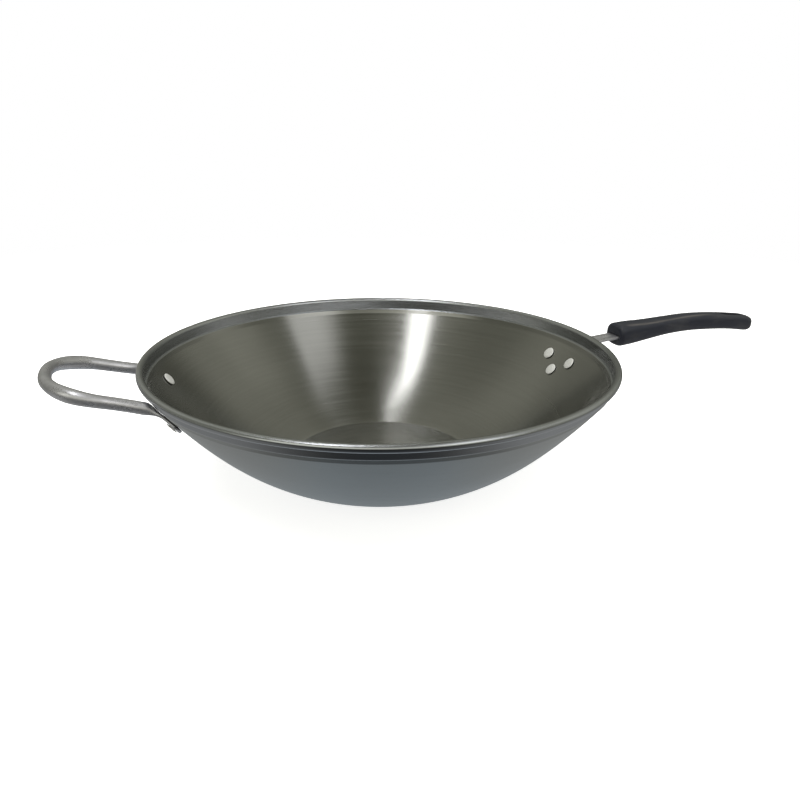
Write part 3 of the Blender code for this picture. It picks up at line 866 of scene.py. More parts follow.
@dataclass
class LoopHandle:
    """The rod bent to a loop, its ends flattened and riveted on the wall."""

    rod_radius: float = 4.3 * MM
    tip_ease: float = 0.09 * MM
    swell: float = 0.75 * MM
    swell_place: float = 41.0 * MM
    swell_reach: float = 13.0 * MM
    rise: float = math.radians(15.4)
    root: float = 3.6 * MM
    drop: float = 6.6 * MM
    half_width: float = 40.1 * MM
    bend_length: float = 37.0 * MM
    bend_power: float = 2.35
    leg_splay: float = 2.2 * MM
    leg_tuck: float = 8.8 * MM
    foot_half_span: float = 46.2 * MM
    foot_drop: float = 20.9 * MM
    foot_half_width: float = 6.8 * MM
    foot_thickness: float = 2.2 * MM
    foot_turn: float = math.radians(37.0)
    foot_overhang: float = 6.4 * MM
    leg_run_on: float = 1.5 * MM
    foot_run_in: float = 8.5 * MM
    neck_flat: float = 0.9
    neck_tilt: float = 0.6
    tongue_straight: float = 0.5
    tongue_taper: float = 1.99
    tongue_power: float = 2.4
    tongue_edge: float = 0.07
    rivet_clear: float = 5.45 * MM
    gap: float = 0.12 * MM
    stations: int = 230
    sides: int = 44

    def length(self, bowl: Bowl) -> float:
        """Reach of the loop's middle line from the rim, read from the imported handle."""
        low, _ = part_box("loop_handle")
        return (-low.x - self.rod_radius - bowl.rim_radius - self.root) / math.cos(self.rise)

    def plane_points(self, bowl: Bowl, along: np.ndarray, across: np.ndarray) -> np.ndarray:
        """Points in the loop's tilted plane.

        Args:
            bowl: The bowl that the loop hangs on.
            along: Distances from the loop's root.
            across: Distances to the side.

        Returns:
            Points (n, 3).
        """
        along, across = np.broadcast_arrays(np.asarray(along, float), np.asarray(across, float))
        out = bowl.rim_radius + self.root + along * math.cos(self.rise)
        height = bowl.bead_height - self.drop + along * math.sin(self.rise)
        return np.stack([-out, across, height], axis=-1)

    def half_path(self, bowl: Bowl) -> tuple[np.ndarray, ...]:
        """Middle line and sections from the tip to one foot.

        The bend is a superellipse quarter, and the rod swells there by a bell curve of the
        distance from the tip. The legs run on with a splay that grows with the square of the
        way, and a cubic brings the rod down on the wall while its section turns from round to a
        flat tongue, which runs on along the wall.

        Args:
            bowl: The bowl that the loop hangs on.

        Returns:
            Centres, half widths, half thicknesses and face normals.
        """
        down = np.array([math.sin(self.rise), 0.0, -math.cos(self.rise)])
        reach = self.length(bowl)
        bend_start = reach - self.bend_length
        angles = np.linspace(0.0, 0.5 * np.pi, 240)
        power = 2.0 / self.bend_power
        bend = self.plane_points(bowl, bend_start + self.bend_length * np.cos(angles) ** power,
                                 self.half_width * np.sin(angles) ** power)
        share = np.linspace(0.0, 1.0, 80)[1:]
        leg = self.plane_points(bowl, bend_start - (bend_start + self.leg_tuck) * share,
                                self.half_width + self.leg_splay * share * share)
        seat, normal, uphill, sideways = bowl.wall_frame(self.foot_drop, self.foot_half_span, Side.LOOP)
        outward = sideways if sideways[1] > 0.0 else -sideways
        run = -uphill * math.cos(self.foot_turn) + outward * math.sin(self.foot_turn)
        rivet_centre = seat + normal * (self.gap + self.foot_thickness / 2.0)
        flat_start = rivet_centre - run * self.rivet_clear
        heading = unit(leg[-1] - leg[-6])
        blend = np.linspace(0.0, 1.0, 70)[1:]
        neck = bezier([leg[-1], leg[-1] + heading * self.leg_run_on, flat_start - run * self.foot_run_in,
                       flat_start], blend)
        tongue = np.linspace(0.0, 1.0, 60)[1:]
        foot = flat_start + run * (self.rivet_clear + self.foot_overhang) * tongue[:, None]

        flat = smooth_step(blend, 0.0, self.neck_flat)
        way = along_line(np.vstack([bend, leg]))
        bulge = self.swell * np.exp(-((way - self.swell_place) / self.swell_reach) ** 2)
        ease = self.tip_ease * np.exp(-(way / self.swell_reach) ** 2)
        round_part = self.rod_radius + bulge - ease
        taper = np.clip(tongue - self.tongue_straight, 0.0, None) * self.tongue_taper
        rounding = np.sqrt(np.clip(1.0 - taper ** self.tongue_power, 1e-4, None))
        bevel = np.clip(tongue - (1.0 - self.tongue_edge), 0.0, None) / self.tongue_edge
        edge = np.sqrt(np.clip(1.0 - bevel ** 2, 0.04, None))
        half_thickness = self.foot_thickness / 2.0
        wide = np.concatenate([round_part, self.rod_radius + (self.foot_half_width - self.rod_radius) * flat,
                               self.foot_half_width * rounding])
        thick = np.concatenate([round_part, self.rod_radius + (half_thickness - self.rod_radius) * flat,
                                half_thickness * edge])
        tilt = smooth_step(blend, 0.0, self.neck_tilt)[:, None]
        faces = np.vstack([np.tile(down, (len(round_part), 1)), unit(down * (1.0 - tilt) + normal * tilt),
                           np.tile(normal, (len(tongue), 1))])
        return np.vstack([bend, leg, neck, foot]), wide, thick, faces

    def rings(self, bowl: Bowl) -> np.ndarray:
        """Sections of the whole handle from foot to foot, at equal steps along it.

        A section is a superellipse, whose power grows from 2 on the round rod towards 4 on the
        flat tongue.

        Args:
            bowl: The bowl that the loop hangs on.

        Returns:
            Ring points, (rings, sides, 3).
        """
        centres, wide, thick, faces = self.half_path(bowl)
        flip = np.array([1.0, -1.0, 1.0])
        centres = np.vstack([centres[::-1] * flip, centres[1:]])
        faces = np.vstack([faces[::-1] * flip, faces[1:]])
        wide = np.concatenate([wide[::-1], wide[1:]])
        thick = np.concatenate([thick[::-1], thick[1:]])
        way = along_line(centres)
        stops = np.linspace(0.0, way[-1], self.stations)
        edge = way[-1] * (1.0 - np.cos(np.linspace(0.0, 0.5 * np.pi, 14))) * 0.012
        stops = np.unique(np.concatenate([stops, edge, way[-1] - edge]))

        def read(values: np.ndarray) -> np.ndarray:
            """Values at the stops, column by column."""
            return np.stack([np.interp(stops, way, column) for column in values.T], axis=-1)

        centres, faces = read(centres), read(faces)
        wide, thick = np.interp(stops, way, wide), np.interp(stops, way, thick)
        tangent = unit(np.gradient(centres, stops, axis=0))
        across = unit(faces - tangent * np.sum(faces * tangent, axis=1, keepdims=True))
        sideways = np.cross(tangent, across)
        angles = np.linspace(0.0, 2.0 * np.pi, self.sides, endpoint=False)
        flatness = 1.0 - thick / np.maximum(wide, thick)
        power = (2.0 / (2.0 + 2.0 * np.clip(flatness, 0.0, 1.0)))[:, None]
        cosine, sine = np.cos(angles), np.sin(angles)
        a = wide[:, None] * np.sign(cosine) * np.abs(cosine) ** power
        b = thick[:, None] * np.sign(sine) * np.abs(sine) ** power
        return centres[:, None] + sideways[:, None] * a[..., None] + across[:, None] * b[..., None]

    def build(self, bowl: Bowl, steel: bpy.types.Material) -> bpy.types.Object:
        """Skin the sections and dress the handle."""
        points, quads = ring_skin(self.rings(bowl))
        return dress(make_piece("rod_loop", points, quads), steel, "polished_steel", "loop_handle")


@dataclass
class Bracket:
    """The strap: plate riveted on the wall, neck under the rim and tang in the grip."""

    strap: float = 1.8 * MM
    rivet_pitch: float = 32.0 * MM
    rivet_drop: float = 22.5 * MM
    lower_drop: float = 31.8 * MM
    end_margin: float = 10.4 * MM
    side_margin: float = 5.8 * MM
    toe_radius: float = 9.4 * MM
    ear_spread: float = 8.6 * MM
    neck_half_width: float = 7.8 * MM
    neck_rise: float = math.radians(5.2)
    bend_drop: float = 12.4 * MM
    bend_radius: float = 9.0 * MM
    groove_depth: float = 1.1 * MM
    groove_half_width: float = 3.4 * MM
    groove_length: float = 33.0 * MM
    edge_round: float = 0.35 * MM
    gap: float = 0.3 * MM
    plate_rows: int = 110
    bend_rows: int = 40
    run_rows: int = 129
    columns: int = 56

    def half_width(self, bowl: Bowl, length: np.ndarray) -> np.ndarray:
        """Half width of the strap: round toe, two ears at the rivets, then the neck.

        Args:
            bowl: The bowl that the plate lies on.
            length: Distances from the toe.

        Returns:
            The half width at each distance.
        """
        shoulder = (self.end_drop(bowl) - self.rivet_drop) / math.sin(bowl.wall_slope)
        plate_half = self.rivet_pitch / 2.0 + self.side_margin
        toe = np.clip(self.toe_radius - length, 0.0, None)
        rounding = np.sqrt(np.clip(self.toe_radius ** 2 - toe * toe, 0.0, None))
        ear = (plate_half - self.toe_radius) * np.exp(-(np.abs(length - shoulder) / self.ear_spread) ** 2.6)
        ear = ear * smooth_step(length, 0.0, 2.0 * MM)
        narrow = smooth_step(length, shoulder + 2.0 * MM, shoulder + 16.0 * MM)
        return rounding + ear + (self.neck_half_width - self.toe_radius) * narrow

    def end_drop(self, bowl: Bowl) -> float:
        """Drop of the plate's toe."""
        return self.lower_drop + self.end_margin * math.sin(bowl.wall_slope)

    def path(self, bowl: Bowl) -> tuple[np.ndarray, ...]:
        """Middle of the strap from its toe to the tang's end.

        The plate follows the wall's outer face, an arc turns it to the neck's rise, and the neck
        and tang are straight.

        Args:
            bowl: The bowl that the plate lies on.

        Returns:
            X, Z, half width, and the share to which the strap follows the wall's roundness.
        """
        lift = self.gap + self.strap / 2.0
        end_drop = self.end_drop(bowl)
        drops = end_drop + (self.bend_drop - end_drop) * np.linspace(0.0, 1.0, self.plate_rows) ** 1.6
        radius, height, slope = bowl.wall_at(drops)
        x, z = radius + lift * np.sin(slope), height - lift * np.cos(slope)
        length = (end_drop - drops) / math.sin(bowl.wall_slope)
        shares = (np.arange(self.bend_rows) + 0.5) / self.bend_rows
        turn = slope[-1] + (self.neck_rise - slope[-1]) * shares
        stride = self.bend_radius * (slope[-1] - self.neck_rise) / self.bend_rows
        bend_x = x[-1] + np.cumsum(stride * np.cos(turn))
        bend_z = z[-1] + np.cumsum(stride * np.sin(turn))
        bend_length = length[-1] + stride * (np.arange(self.bend_rows) + 1.0)
        _, strap_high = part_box("handle_bracket")
        run_x = np.linspace(bend_x[-1], strap_high.x, self.run_rows + 1)[1:]
        run_z = bend_z[-1] + (run_x - bend_x[-1]) * math.tan(self.neck_rise)
        run_length = bend_length[-1] + (run_x - bend_x[-1]) / math.cos(self.neck_rise)
        length = np.concatenate([length, bend_length, run_length])
        on_wall = np.concatenate([np.ones(self.plate_rows), 1.0 - smooth_step(shares, 0.0, 1.0),
                                  np.zeros(self.run_rows)])
        return (np.concatenate([x, bend_x, run_x]), np.concatenate([z, bend_z, run_z]),
                self.half_width(bowl, length), on_wall)

    def skin(self, bowl: Bowl) -> tuple[np.ndarray, np.ndarray]:
        """Closed skin of the strap.

        A middle surface carries a top and a bottom face half a strap along its normal, drawn in
        near the edges by a quarter circle, and the two faces join round the outline.

        Args:
            bowl: The bowl that the plate lies on.

        Returns:
            Points (n, 3) and quads (m, 4).
        """
        x, z, half, on_wall = (value[:, None] for value in self.path(bowl))
        column = np.sin(0.5 * np.pi * np.linspace(-1.0, 1.0, self.columns))[None, :]
        y = column * np.maximum(half, 0.02 * MM)
        follow = on_wall * (x - np.sqrt(np.clip(x * x - y * y, 0.0, None)))
        grip_low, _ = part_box("grip")
        along = (x - (grip_low.x - self.groove_length - 2.0 * MM)) / self.groove_length
        depth = self.groove_depth * smooth_step(along, 0.0, 0.2) * smooth_step(1.0 - along, 0.0, 0.2)
        sunk = depth * (0.5 + 0.5 * np.cos(np.pi * np.clip(np.abs(y) / self.groove_half_width, 0.0, 1.0)))
        middle = np.stack(np.broadcast_arrays(x - follow, y, z - sunk), axis=-1)
        normal = unit(np.cross(np.gradient(middle, axis=0), np.gradient(middle, axis=1)))
        inset = np.clip(self.edge_round - (half - np.abs(y)), 0.0, self.edge_round)
        lift = self.strap / 2.0 - self.edge_round + np.sqrt(self.edge_round ** 2 - inset ** 2)
        top = middle + normal * lift[..., None]
        bottom = middle - normal * lift[..., None]
        rows = np.concatenate([top, bottom[:, ::-1]], axis=1)
        count, sides = rows.shape[:2]
        start = (rows[:1] + rows[:1, ::-1]) / 2.0
        end = (rows[-1:] + rows[-1:, ::-1]) / 2.0
        rows = np.concatenate([start, rows, end])
        return rows.reshape(-1, 3), grid_quads(count + 2, sides, wrap=True)

    def build(self, bowl: Bowl, steel: bpy.types.Material) -> bpy.types.Object:
        """Skin the strap and dress it."""
        points, quads = self.skin(bowl)
        return dress(make_piece("strap_bracket", points, quads), steel, "polished_steel", "handle_bracket")


@dataclass
class Grip:
    """The moulded grip with its tang socket and hang hole."""

    bead_height: float
    stations: tuple = (
        (0.0 * MM, 4.1 * MM, -15.0 * MM, 24.2 * MM),
        (13.0 * MM, 5.1 * MM, -13.9 * MM, 23.2 * MM),
        (29.0 * MM, 5.3 * MM, -11.7 * MM, 21.6 * MM),
        (53.0 * MM, 6.5 * MM, -8.6 * MM, 19.2 * MM),
        (77.0 * MM, 7.5 * MM, -7.4 * MM, 18.6 * MM),
        (99.0 * MM, 6.7 * MM, -7.9 * MM, 19.6 * MM),
        (123.0 * MM, 4.6 * MM, -9.6 * MM, 21.0 * MM),
        (146.7 * MM, 1.7 * MM, -13.0 * MM, 21.0 * MM),
    )
    squareness: float = 2.9
    face_round: float = 3.4 * MM
    hole_length: float = 23.4 * MM
    hole_width: float = 8.5 * MM
    hole_margin: float = 13.0 * MM
    lip_round: float = 1.3 * MM
    lip_first: float = 0.06
    end_width_power: float = 0.9
    end_height_power: float = 0.75
    socket_half_width: float = 8.4 * MM
    socket_half_height: float = 1.5 * MM
    socket_depth: float = 16.0 * MM
    mouth_power: float = 0.35
    edge_rows: int = 12
    columns: int = 46
    # Line of the painted highlight along the upper shoulder: its angle round the section, its climb, its
    # width, and where it starts and ends.
    ridge_place: float = 45.0 * MM
    ridge_angle: float = math.radians(52.0)
    ridge_climb: float = math.radians(14.0)
    ridge_width: float = math.radians(8.0)
    ridge_start: float = 6.0 * MM
    ridge_end: float = 112.0 * MM
    face_x: float = field(init=False)
    end_x: float = field(init=False)

    def __post_init__(self) -> None:
        """Take the grip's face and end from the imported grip."""
        low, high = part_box("grip")
        self.face_x, self.end_x = low.x, high.x

    def outline(self, place: np.ndarray) -> tuple[np.ndarray, ...]:
        """Read the grip's outline.

        A Hermite curve runs through the stations, with each slope taken from its neighbours.

        Args:
            place: Distances from the face.

        Returns:
            Top height, bottom height and width at each distance.
        """
        table = np.array(self.stations)
        slopes = np.gradient(table[:, 1:], table[:, 0], axis=0)
        place = np.clip(np.asarray(place, float), table[0, 0], table[-1, 0])
        i = np.clip(np.searchsorted(table[:, 0], place) - 1, 0, len(table) - 2)
        step = table[i + 1, 0] - table[i, 0]
        u = (place - table[i, 0]) / step
        read = ((2 * u ** 3 - 3 * u ** 2 + 1)[:, None] * table[i, 1:]
                + ((u ** 3 - 2 * u ** 2 + u) * step)[:, None] * slopes[i]
                + (3 * u ** 2 - 2 * u ** 3)[:, None] * table[i + 1, 1:]
                + ((u ** 3 - u ** 2) * step)[:, None] * slopes[i + 1])
        return read[:, 0], read[:, 1], read[:, 2]

    @property
    def length(self) -> float:
        """Length of the grip."""
        return self.end_x - self.face_x

    def past_centres(self, place: np.ndarray) -> np.ndarray:
        """Distance past the centres of the hole's round ends, 0 between them."""
        centre = self.length - self.hole_margin - self.hole_length / 2.0
        return np.clip(np.abs(place - centre) - (self.hole_length / 2.0 - self.hole_width / 2.0), 0.0, None)

    def hole_half_width(self, place: np.ndarray) -> np.ndarray:
        """Half width of the oval hang hole at distances from the face, 0 outside it."""
        room = (self.hole_width / 2.0) ** 2 - self.past_centres(place) ** 2
        return np.sqrt(np.clip(room, 0.0, None))

    def hole_distance(self, place: np.ndarray, y: np.ndarray) -> np.ndarray:
        """Distance from points of the plan to the hole's edge, 0 inside it."""
        return np.clip(np.hypot(self.past_centres(place), y) - self.hole_width / 2.0, 0.0, None)

    def places(self) -> tuple[np.ndarray, ...]:
        """Places of the sections from face to end, with their shares.

        The face's edge is a quarter circle, the hole's ends have close sections, and the grip's
        end narrows by powers of the cosine over a quarter turn.

        Returns:
            Distance from the face, inset, width share and height share of each section.
        """
        edge = np.radians(np.linspace(0.0, 90.0, self.edge_rows))
        face = self.face_round * (1.0 - np.cos(edge))
        inset = self.face_round * (1.0 - np.sin(edge))
        tail = self.stations[-1][3] / 2.0
        round_start = self.length - tail
        hole_end = self.length - self.hole_margin
        hole_start = hole_end - self.hole_length
        swing = np.cos(np.linspace(np.pi, 0.0, 60))
        hole = (hole_start + hole_end) / 2.0 + swing * self.hole_length / 2.0
        before = hole_start - self.lip_round * 2.0 * np.linspace(1.0, self.lip_first, 14)
        after = hole_end + self.lip_round * np.linspace(self.lip_first, 1.0, 9)
        body = np.linspace(self.face_round, before[0], 110)[1:-1]
        tip = np.radians(np.linspace(0.0, 90.0, 34))
        end = round_start + tail * np.sin(tip)
        end_width = np.cos(tip) ** self.end_width_power
        end_height = np.cos(tip) ** self.end_height_power
        middle = np.concatenate([body, before, hole, after])
        keep = end > after[-1] + 0.05 * MM
        place = np.concatenate([face, middle, end[keep]])
        widths = np.interp(middle, end, end_width, left=1.0)
        heights = np.interp(middle, end, end_height, left=1.0)
        width = np.concatenate([np.ones(self.edge_rows), widths, end_width[keep]])
        height = np.concatenate([np.ones(self.edge_rows), heights, end_height[keep]])
        return place, np.concatenate([inset, np.zeros(len(place) - self.edge_rows)]), width, height

    def ridge(self, place: np.ndarray, angle: np.ndarray) -> np.ndarray:
        """Strength of the painted highlight along the upper shoulder, 0 to 1.

        It is a bell curve of the section's angle about a line that climbs with the square of
        the distance from ridge_place, and fades out towards both ends.

        Args:
            place: Distances of the sections from the face.
            angle: Angles of their points, (sections, columns).

        Returns:
            The strength of the painted highlight at each point, (sections, columns).
        """
        line = self.ridge_angle + self.ridge_climb * ((place - self.ridge_place) / self.ridge_place) ** 2
        bell = np.exp(-((angle - line[:, None]) / self.ridge_width) ** 2)
        fade = smooth_step(place, self.ridge_start, 2.0 * self.ridge_start)
        fade = fade * (1.0 - smooth_step(place, 0.7 * self.ridge_end, self.ridge_end))
        return bell * fade[:, None]

    def half_skin(self) -> tuple[np.ndarray, np.ndarray, np.ndarray]:
        """Skin of the +Y half.

        A section is a superellipse between the top and bottom lines. Where the hole is, it
        starts at the hole's edge, and a quarter circle rounds it down into the hole.

        Returns:
            Points of the outer skin and of the hole's wall, both (sections, columns, 3), and the
            strength of the painted highlight at the outer skin's points.
        """
        place, inset, width_share, height_share = self.places()
        top, bottom, width = self.outline(place)
        middle = self.bead_height + (top + bottom) / 2.0
        half_height = np.maximum((top - bottom) / 2.0 * height_share - inset, 0.0)
        half_width = np.maximum(width / 2.0 * width_share - inset, 1e-7)
        hole = self.hole_half_width(place)
        start = np.arccos(np.clip(hole / half_width, 0.0, 1.0) ** (self.squareness / 2.0))
        share = np.linspace(0.0, 1.0, 2 * self.columns)
        share = share - 0.92 * np.sin(2.0 * np.pi * share) / (2.0 * np.pi)
        angle = start[:, None] * (1.0 - 2.0 * share[None, :])
        power = 2.0 / self.squareness
        y = half_width[:, None] * np.abs(np.cos(angle)) ** power
        z = half_height[:, None] * np.sign(angle) * np.abs(np.sin(angle)) ** power
        distance = self.hole_distance(place[:, None], y)
        near = np.clip(self.lip_round - distance, 0.0, self.lip_round)
        z = z - np.sign(angle) * (self.lip_round - np.sqrt(self.lip_round ** 2 - near ** 2))
        x = np.broadcast_to((self.face_x + place)[:, None], y.shape)
        skin = np.stack([x, y, middle[:, None] + z], axis=-1)
        in_hole = self.hole_distance(place, np.zeros(len(place))) <= 1e-9
        upper, lower = skin[in_hole, 0], skin[in_hole, -1]
        fall = np.linspace(0.0, 1.0, 14)[None, :, None]
        return skin, upper[:, None] * (1.0 - fall) + lower[:, None] * fall, self.ridge(place, angle)

    def face_rings(self, rim: np.ndarray, tang_height: float) -> np.ndarray:
        """Rings from the face's edge over the flat face into the tang's socket and its floor.

        Args:
            rim: The face's outline, (sides, 3).
            tang_height: Height of the tang's middle at the face.

        Returns:
            Rings (n, sides, 3), the first of them the outline.
        """
        centre = rim.mean(axis=0)
        spans = rim.max(axis=0) - centre
        angle = np.arctan2((rim[:, 2] - centre[2]) / spans[2], (rim[:, 1] - centre[1]) / spans[1])
        cosine, sine = np.cos(angle), np.sin(angle)
        across = self.socket_half_width * np.sign(cosine) * np.abs(cosine) ** self.mouth_power
        upright = self.socket_half_height * np.sign(sine) * np.abs(sine) ** self.mouth_power
        mouth = np.stack([np.full(len(rim), self.face_x), across, tang_height + upright], axis=-1)
        rings = [rim * (1.0 - share) + mouth * share for share in (0.0, 0.25, 0.5, 0.75, 0.9)]
        for depth, grow in ((0.0, 1.0), (0.12, 0.96), (0.4, 0.9), (8.0, 0.9), (self.socket_depth / MM, 0.9)):
            ring = mouth.copy()
            ring[:, 0] += depth * MM
            ring[:, 1] *= 1.0 - 0.03 * (1.0 - grow)
            ring[:, 2] = tang_height + (mouth[:, 2] - tang_height) * grow
            rings.append(ring)
        floor = np.repeat(rings[-1].mean(axis=0, keepdims=True), len(rim), axis=0)
        return np.stack([*rings, floor])

    def build(self, phenolic: bpy.types.Material, tang_height: float) -> bpy.types.Object:
        """Join the two halves, the hole's wall and the face, and dress the grip.

        Args:
            phenolic: The grip's material.
            tang_height: Height of the tang's middle at the face.

        Returns:
            The finished grip.
        """
        skin, wall, worn = self.half_skin()
        flip = np.array([1.0, -1.0, 1.0])
        rim = np.vstack([skin[0], (skin[0] * flip)[::-1]])
        face = self.face_rings(rim, tang_height)
        patches = [(skin, False), (skin[:, ::-1] * flip, False), (wall[:, ::-1], False),
                   (wall * flip, False), (face[:, ::-1], True)]
        points, quads, start = [], [], 0
        for patch, wrap in patches:
            rows, columns = patch.shape[:2]
            points.append(patch.reshape(-1, 3))
            quads.append(grid_quads(rows, columns, wrap) + start)
            start += rows * columns
        # Strength of the painted highlight for the two halves of the outer skin; the hole's wall and the face
        # get none.
        painted_highlight = np.zeros(start)
        painted_highlight[:2 * worn.size] = np.concatenate([worn.ravel(), worn[:, ::-1].ravel()])
        piece = make_piece("moulded_grip", np.vstack(points), np.vstack(quads), painted_highlight=painted_highlight)
        return dress(piece, phenolic, "black_phenolic", "grip")


@dataclass(frozen=True)
class SoftBox:
    """A rectangular studio light, placed as seen from the camera: right, away and up.

    It runs from the middle of one short side to the middle of the other and faces the wok.
    """

    name: str
    start: tuple
    end: tuple
    width: float
    glow: float
    colour: tuple = (1.0, 1.0, 1.0)
    in_reflections: bool = True

    def build(self, turn: Matrix, centre: Vector) -> None:
        """Hang the light round the wok, turned with the camera's azimuth.

        Its power is its glow times four times its area, which gives it the glow's brightness.

        Args:
            turn: The camera's turn about Z.
            centre: The point that the light is placed about.
        """
        start, end = turn @ Vector(self.start), turn @ Vector(self.end)
        place, along = (start + end) / 2.0, (end - start).normalized()
        back = (place - along * place.dot(along)).normalized()
        light = bpy.data.lights.new(self.name, "AREA")
        light.shape = "RECTANGLE"
        light.size, light.size_y = self.width, (end - start).length
        light.energy = self.glow * 4.0 * light.size * light.size_y
        light.color = self.colour
        lamp = bpy.data.objects.new(self.name, light)
        bpy.context.scene.collection.objects.link(lamp)
        axes = Matrix((along.cross(back), along, back)).transposed().to_4x4()
        lamp.matrix_world = Matrix.Translation(centre + place) @ axes
        lamp.visible_camera = False
        lamp.visible_glossy = self.in_reflections


class Axis(Enum):
    """A direction in the room as seen from the camera, as the number of its coordinate."""

    RIGHT = 0
    AWAY = 1
    UP = 2


@dataclass(frozen=True)
class Ramp:
    """An eased change from low to high between two places on one of the room's axes."""

    axis: Axis
    start: float
    end: float
    low: float = 0.0
    high: float = 1.0


@dataclass(frozen=True)
class Patch:
    """A soft-edged patch of the room: a level of brightness times the ramps that bound it."""

    name: str
    level: float
    ramps: tuple

    def glow(self, graph: Graph, axes: tuple) -> bpy.types.NodeSocket:
        """Brightness of the patch.

        Args:
            graph: The room's node tree.
            axes: The three coordinates of a direction: right, away and up.

        Returns:
            The brightness in that direction.
        """
        ramps = [graph.spread(axes[ramp.axis.value], ramp.start, ramp.end, ramp.low, ramp.high)
                 for ramp in self.ramps]
        glow = graph.product(*ramps, self.level)
        glow.node.label = self.name
        return glow


@dataclass(frozen=True)
class Room:
    """The dim room that the steel mirrors, as brightness by direction: right, away and up."""

    ceiling: tuple = (0.185, 0.187, 0.148)
    wall: tuple = (0.155, 0.156, 0.128)
    below: tuple = (0.346, 0.382, 0.403)
    below_side: tuple = (0.345, 0.348, 0.337)
    side_tint: tuple = (1.0, 1.0, 0.88)
    glows: tuple = (
        Patch("right side", 0.195, (
            Ramp(Axis.RIGHT, 0.4, 0.72), Ramp(Axis.AWAY, -0.1, 0.12, 0.25, 1.6),
            Ramp(Axis.AWAY, 0.25, 0.5, 1.0, 0.4), Ramp(Axis.UP, -0.2, 0.3))),
        Patch("left side", 0.085, (
            Ramp(Axis.RIGHT, -0.35, -0.7), Ramp(Axis.AWAY, 0.0, 0.3, 0.3, 1.0), Ramp(Axis.UP, -0.2, 0.3))),
        Patch("haze left of the strips", 0.11, (
            Ramp(Axis.RIGHT, -0.75, -0.35), Ramp(Axis.RIGHT, -0.25, 0.05, 1.0, 0.0),
            Ramp(Axis.AWAY, -0.4, -0.05), Ramp(Axis.AWAY, 0.4, 0.65, 1.0, 0.0), Ramp(Axis.UP, 0.3, 0.5))),
        Patch("dark middle", -0.08, (
            Ramp(Axis.RIGHT, -0.1, 0.1), Ramp(Axis.RIGHT, 0.18, 0.38, 1.0, 0.0),
            Ramp(Axis.AWAY, 0.5, 0.7, 1.0, 0.0), Ramp(Axis.UP, 0.3, 0.5))),
        Patch("far end", 0.14, (
            Ramp(Axis.AWAY, 0.15, 0.65), Ramp(Axis.AWAY, 0.65, 0.9, 1.0, 0.6), Ramp(Axis.UP, 0.3, 0.5))),
        Patch("far left", 0.1, (
            Ramp(Axis.RIGHT, -0.2, -0.4), Ramp(Axis.AWAY, 0.55, 0.8),
            Ramp(Axis.UP, -0.4, -0.15), Ramp(Axis.UP, 0.25, 0.45, 1.0, 0.0))),
        Patch("window behind the camera", 0.85, (
            Ramp(Axis.UP, 0.1, 0.3), Ramp(Axis.UP, 0.62, 0.8, 1.0, 0.0),
            Ramp(Axis.AWAY, -0.4, -0.58), Ramp(Axis.RIGHT, -0.35, 0.25, 1.0, 0.55))),
    )
    darks: tuple = (
        Patch("level and far", 0.25, (
            Ramp(Axis.AWAY, 0.55, 0.85), Ramp(Axis.UP, -0.25, -0.45, 1.0, 0.0),
            Ramp(Axis.UP, 0.25, 0.45, 1.0, 0.0), Ramp(Axis.RIGHT, -0.3, -0.1))),
        Patch("low left", 0.15, (
            Ramp(Axis.RIGHT, -0.2, -0.7), Ramp(Axis.AWAY, 0.3, 0.6, 1.0, 0.0),
            Ramp(Axis.UP, -0.7, -0.5), Ramp(Axis.UP, -0.1, 0.1, 1.0, 0.0))),
        Patch("straight below in front", 0.45, (
            Ramp(Axis.UP, -0.6, -0.85), Ramp(Axis.AWAY, 0.0, 0.22, 1.0, 0.0))),
    )
    viewer: tuple = (0.0, -0.9, -0.43)
    viewer_dark: float = 0.9
    viewer_near: float = 0.3
    viewer_far: float = 1.25
    panel: float = 0.79
    panel_far_share: float = 0.75
    panel_near: float = 0.75
    panel_inner: float = 0.34
    panel_outer: float = 0.475
    panel_slant: float = 0.35
    panel_bend_place: float = 0.08
    panel_bend: float = 0.35

    def panel_glow(self, graph: Graph, axes: tuple) -> bpy.types.NodeSocket:
        """Brightness of a tall bright panel on the right, which narrows towards the far end.

        Args:
            graph: The room's node tree.
            axes: The three coordinates of a direction: right, away and up.

        Returns:
            The brightness in that direction.
        """
        right, away, up = axes
        nearer = graph.math("MINIMUM", graph.math("ADD", away, self.panel_bend_place), 0.0)
        slanted = graph.math("ADD", right, graph.math("MULTIPLY", away, self.panel_slant))
        outer = graph.math("ADD", slanted, graph.math("MULTIPLY", nearer, self.panel_bend))
        inner_rise = graph.spread(right, self.panel_inner - 0.06, self.panel_inner + 0.1, 0.0, 0.8)
        outer_rise = graph.spread(outer, self.panel_outer - 0.12, self.panel_outer, 0.0, 0.2)
        far = graph.spread(away, -0.1, 0.3, self.panel, self.panel_far_share * self.panel, smooth=False)
        near = graph.spread(away, -0.4, -0.1, self.panel_near, 0.0, smooth=False)
        return graph.product(
            graph.math("ADD", inner_rise, outer_rise), graph.math("ADD", far, near),
            graph.spread(outer, self.panel_outer - 0.01, self.panel_outer + 0.02, 1.0, 0.0),
            graph.spread(away, 0.28, 0.46, 1.0, 0.0), graph.spread(up, 0.4, 0.6, 0.0, 1.0))

    def shade(self, graph: Graph, place: object, axes: tuple) -> bpy.types.NodeSocket:
        """Share of the walls' brightness left round the viewer and in the dark patches.

        Args:
            graph: The room's node tree.
            place: The direction as one vector.
            axes: Its three coordinates: right, away and up.

        Returns:
            The share in that direction, 0 to 1.
        """
        distance = graph.vector("DISTANCE", place, self.viewer).outputs[1]
        shade = graph.spread(distance, self.viewer_near, self.viewer_far, 1.0 - self.viewer_dark, 1.0)
        for patch in self.darks:
            shade = graph.product(shade, graph.math("SUBTRACT", 1.0, patch.glow(graph, axes)))
        return shade

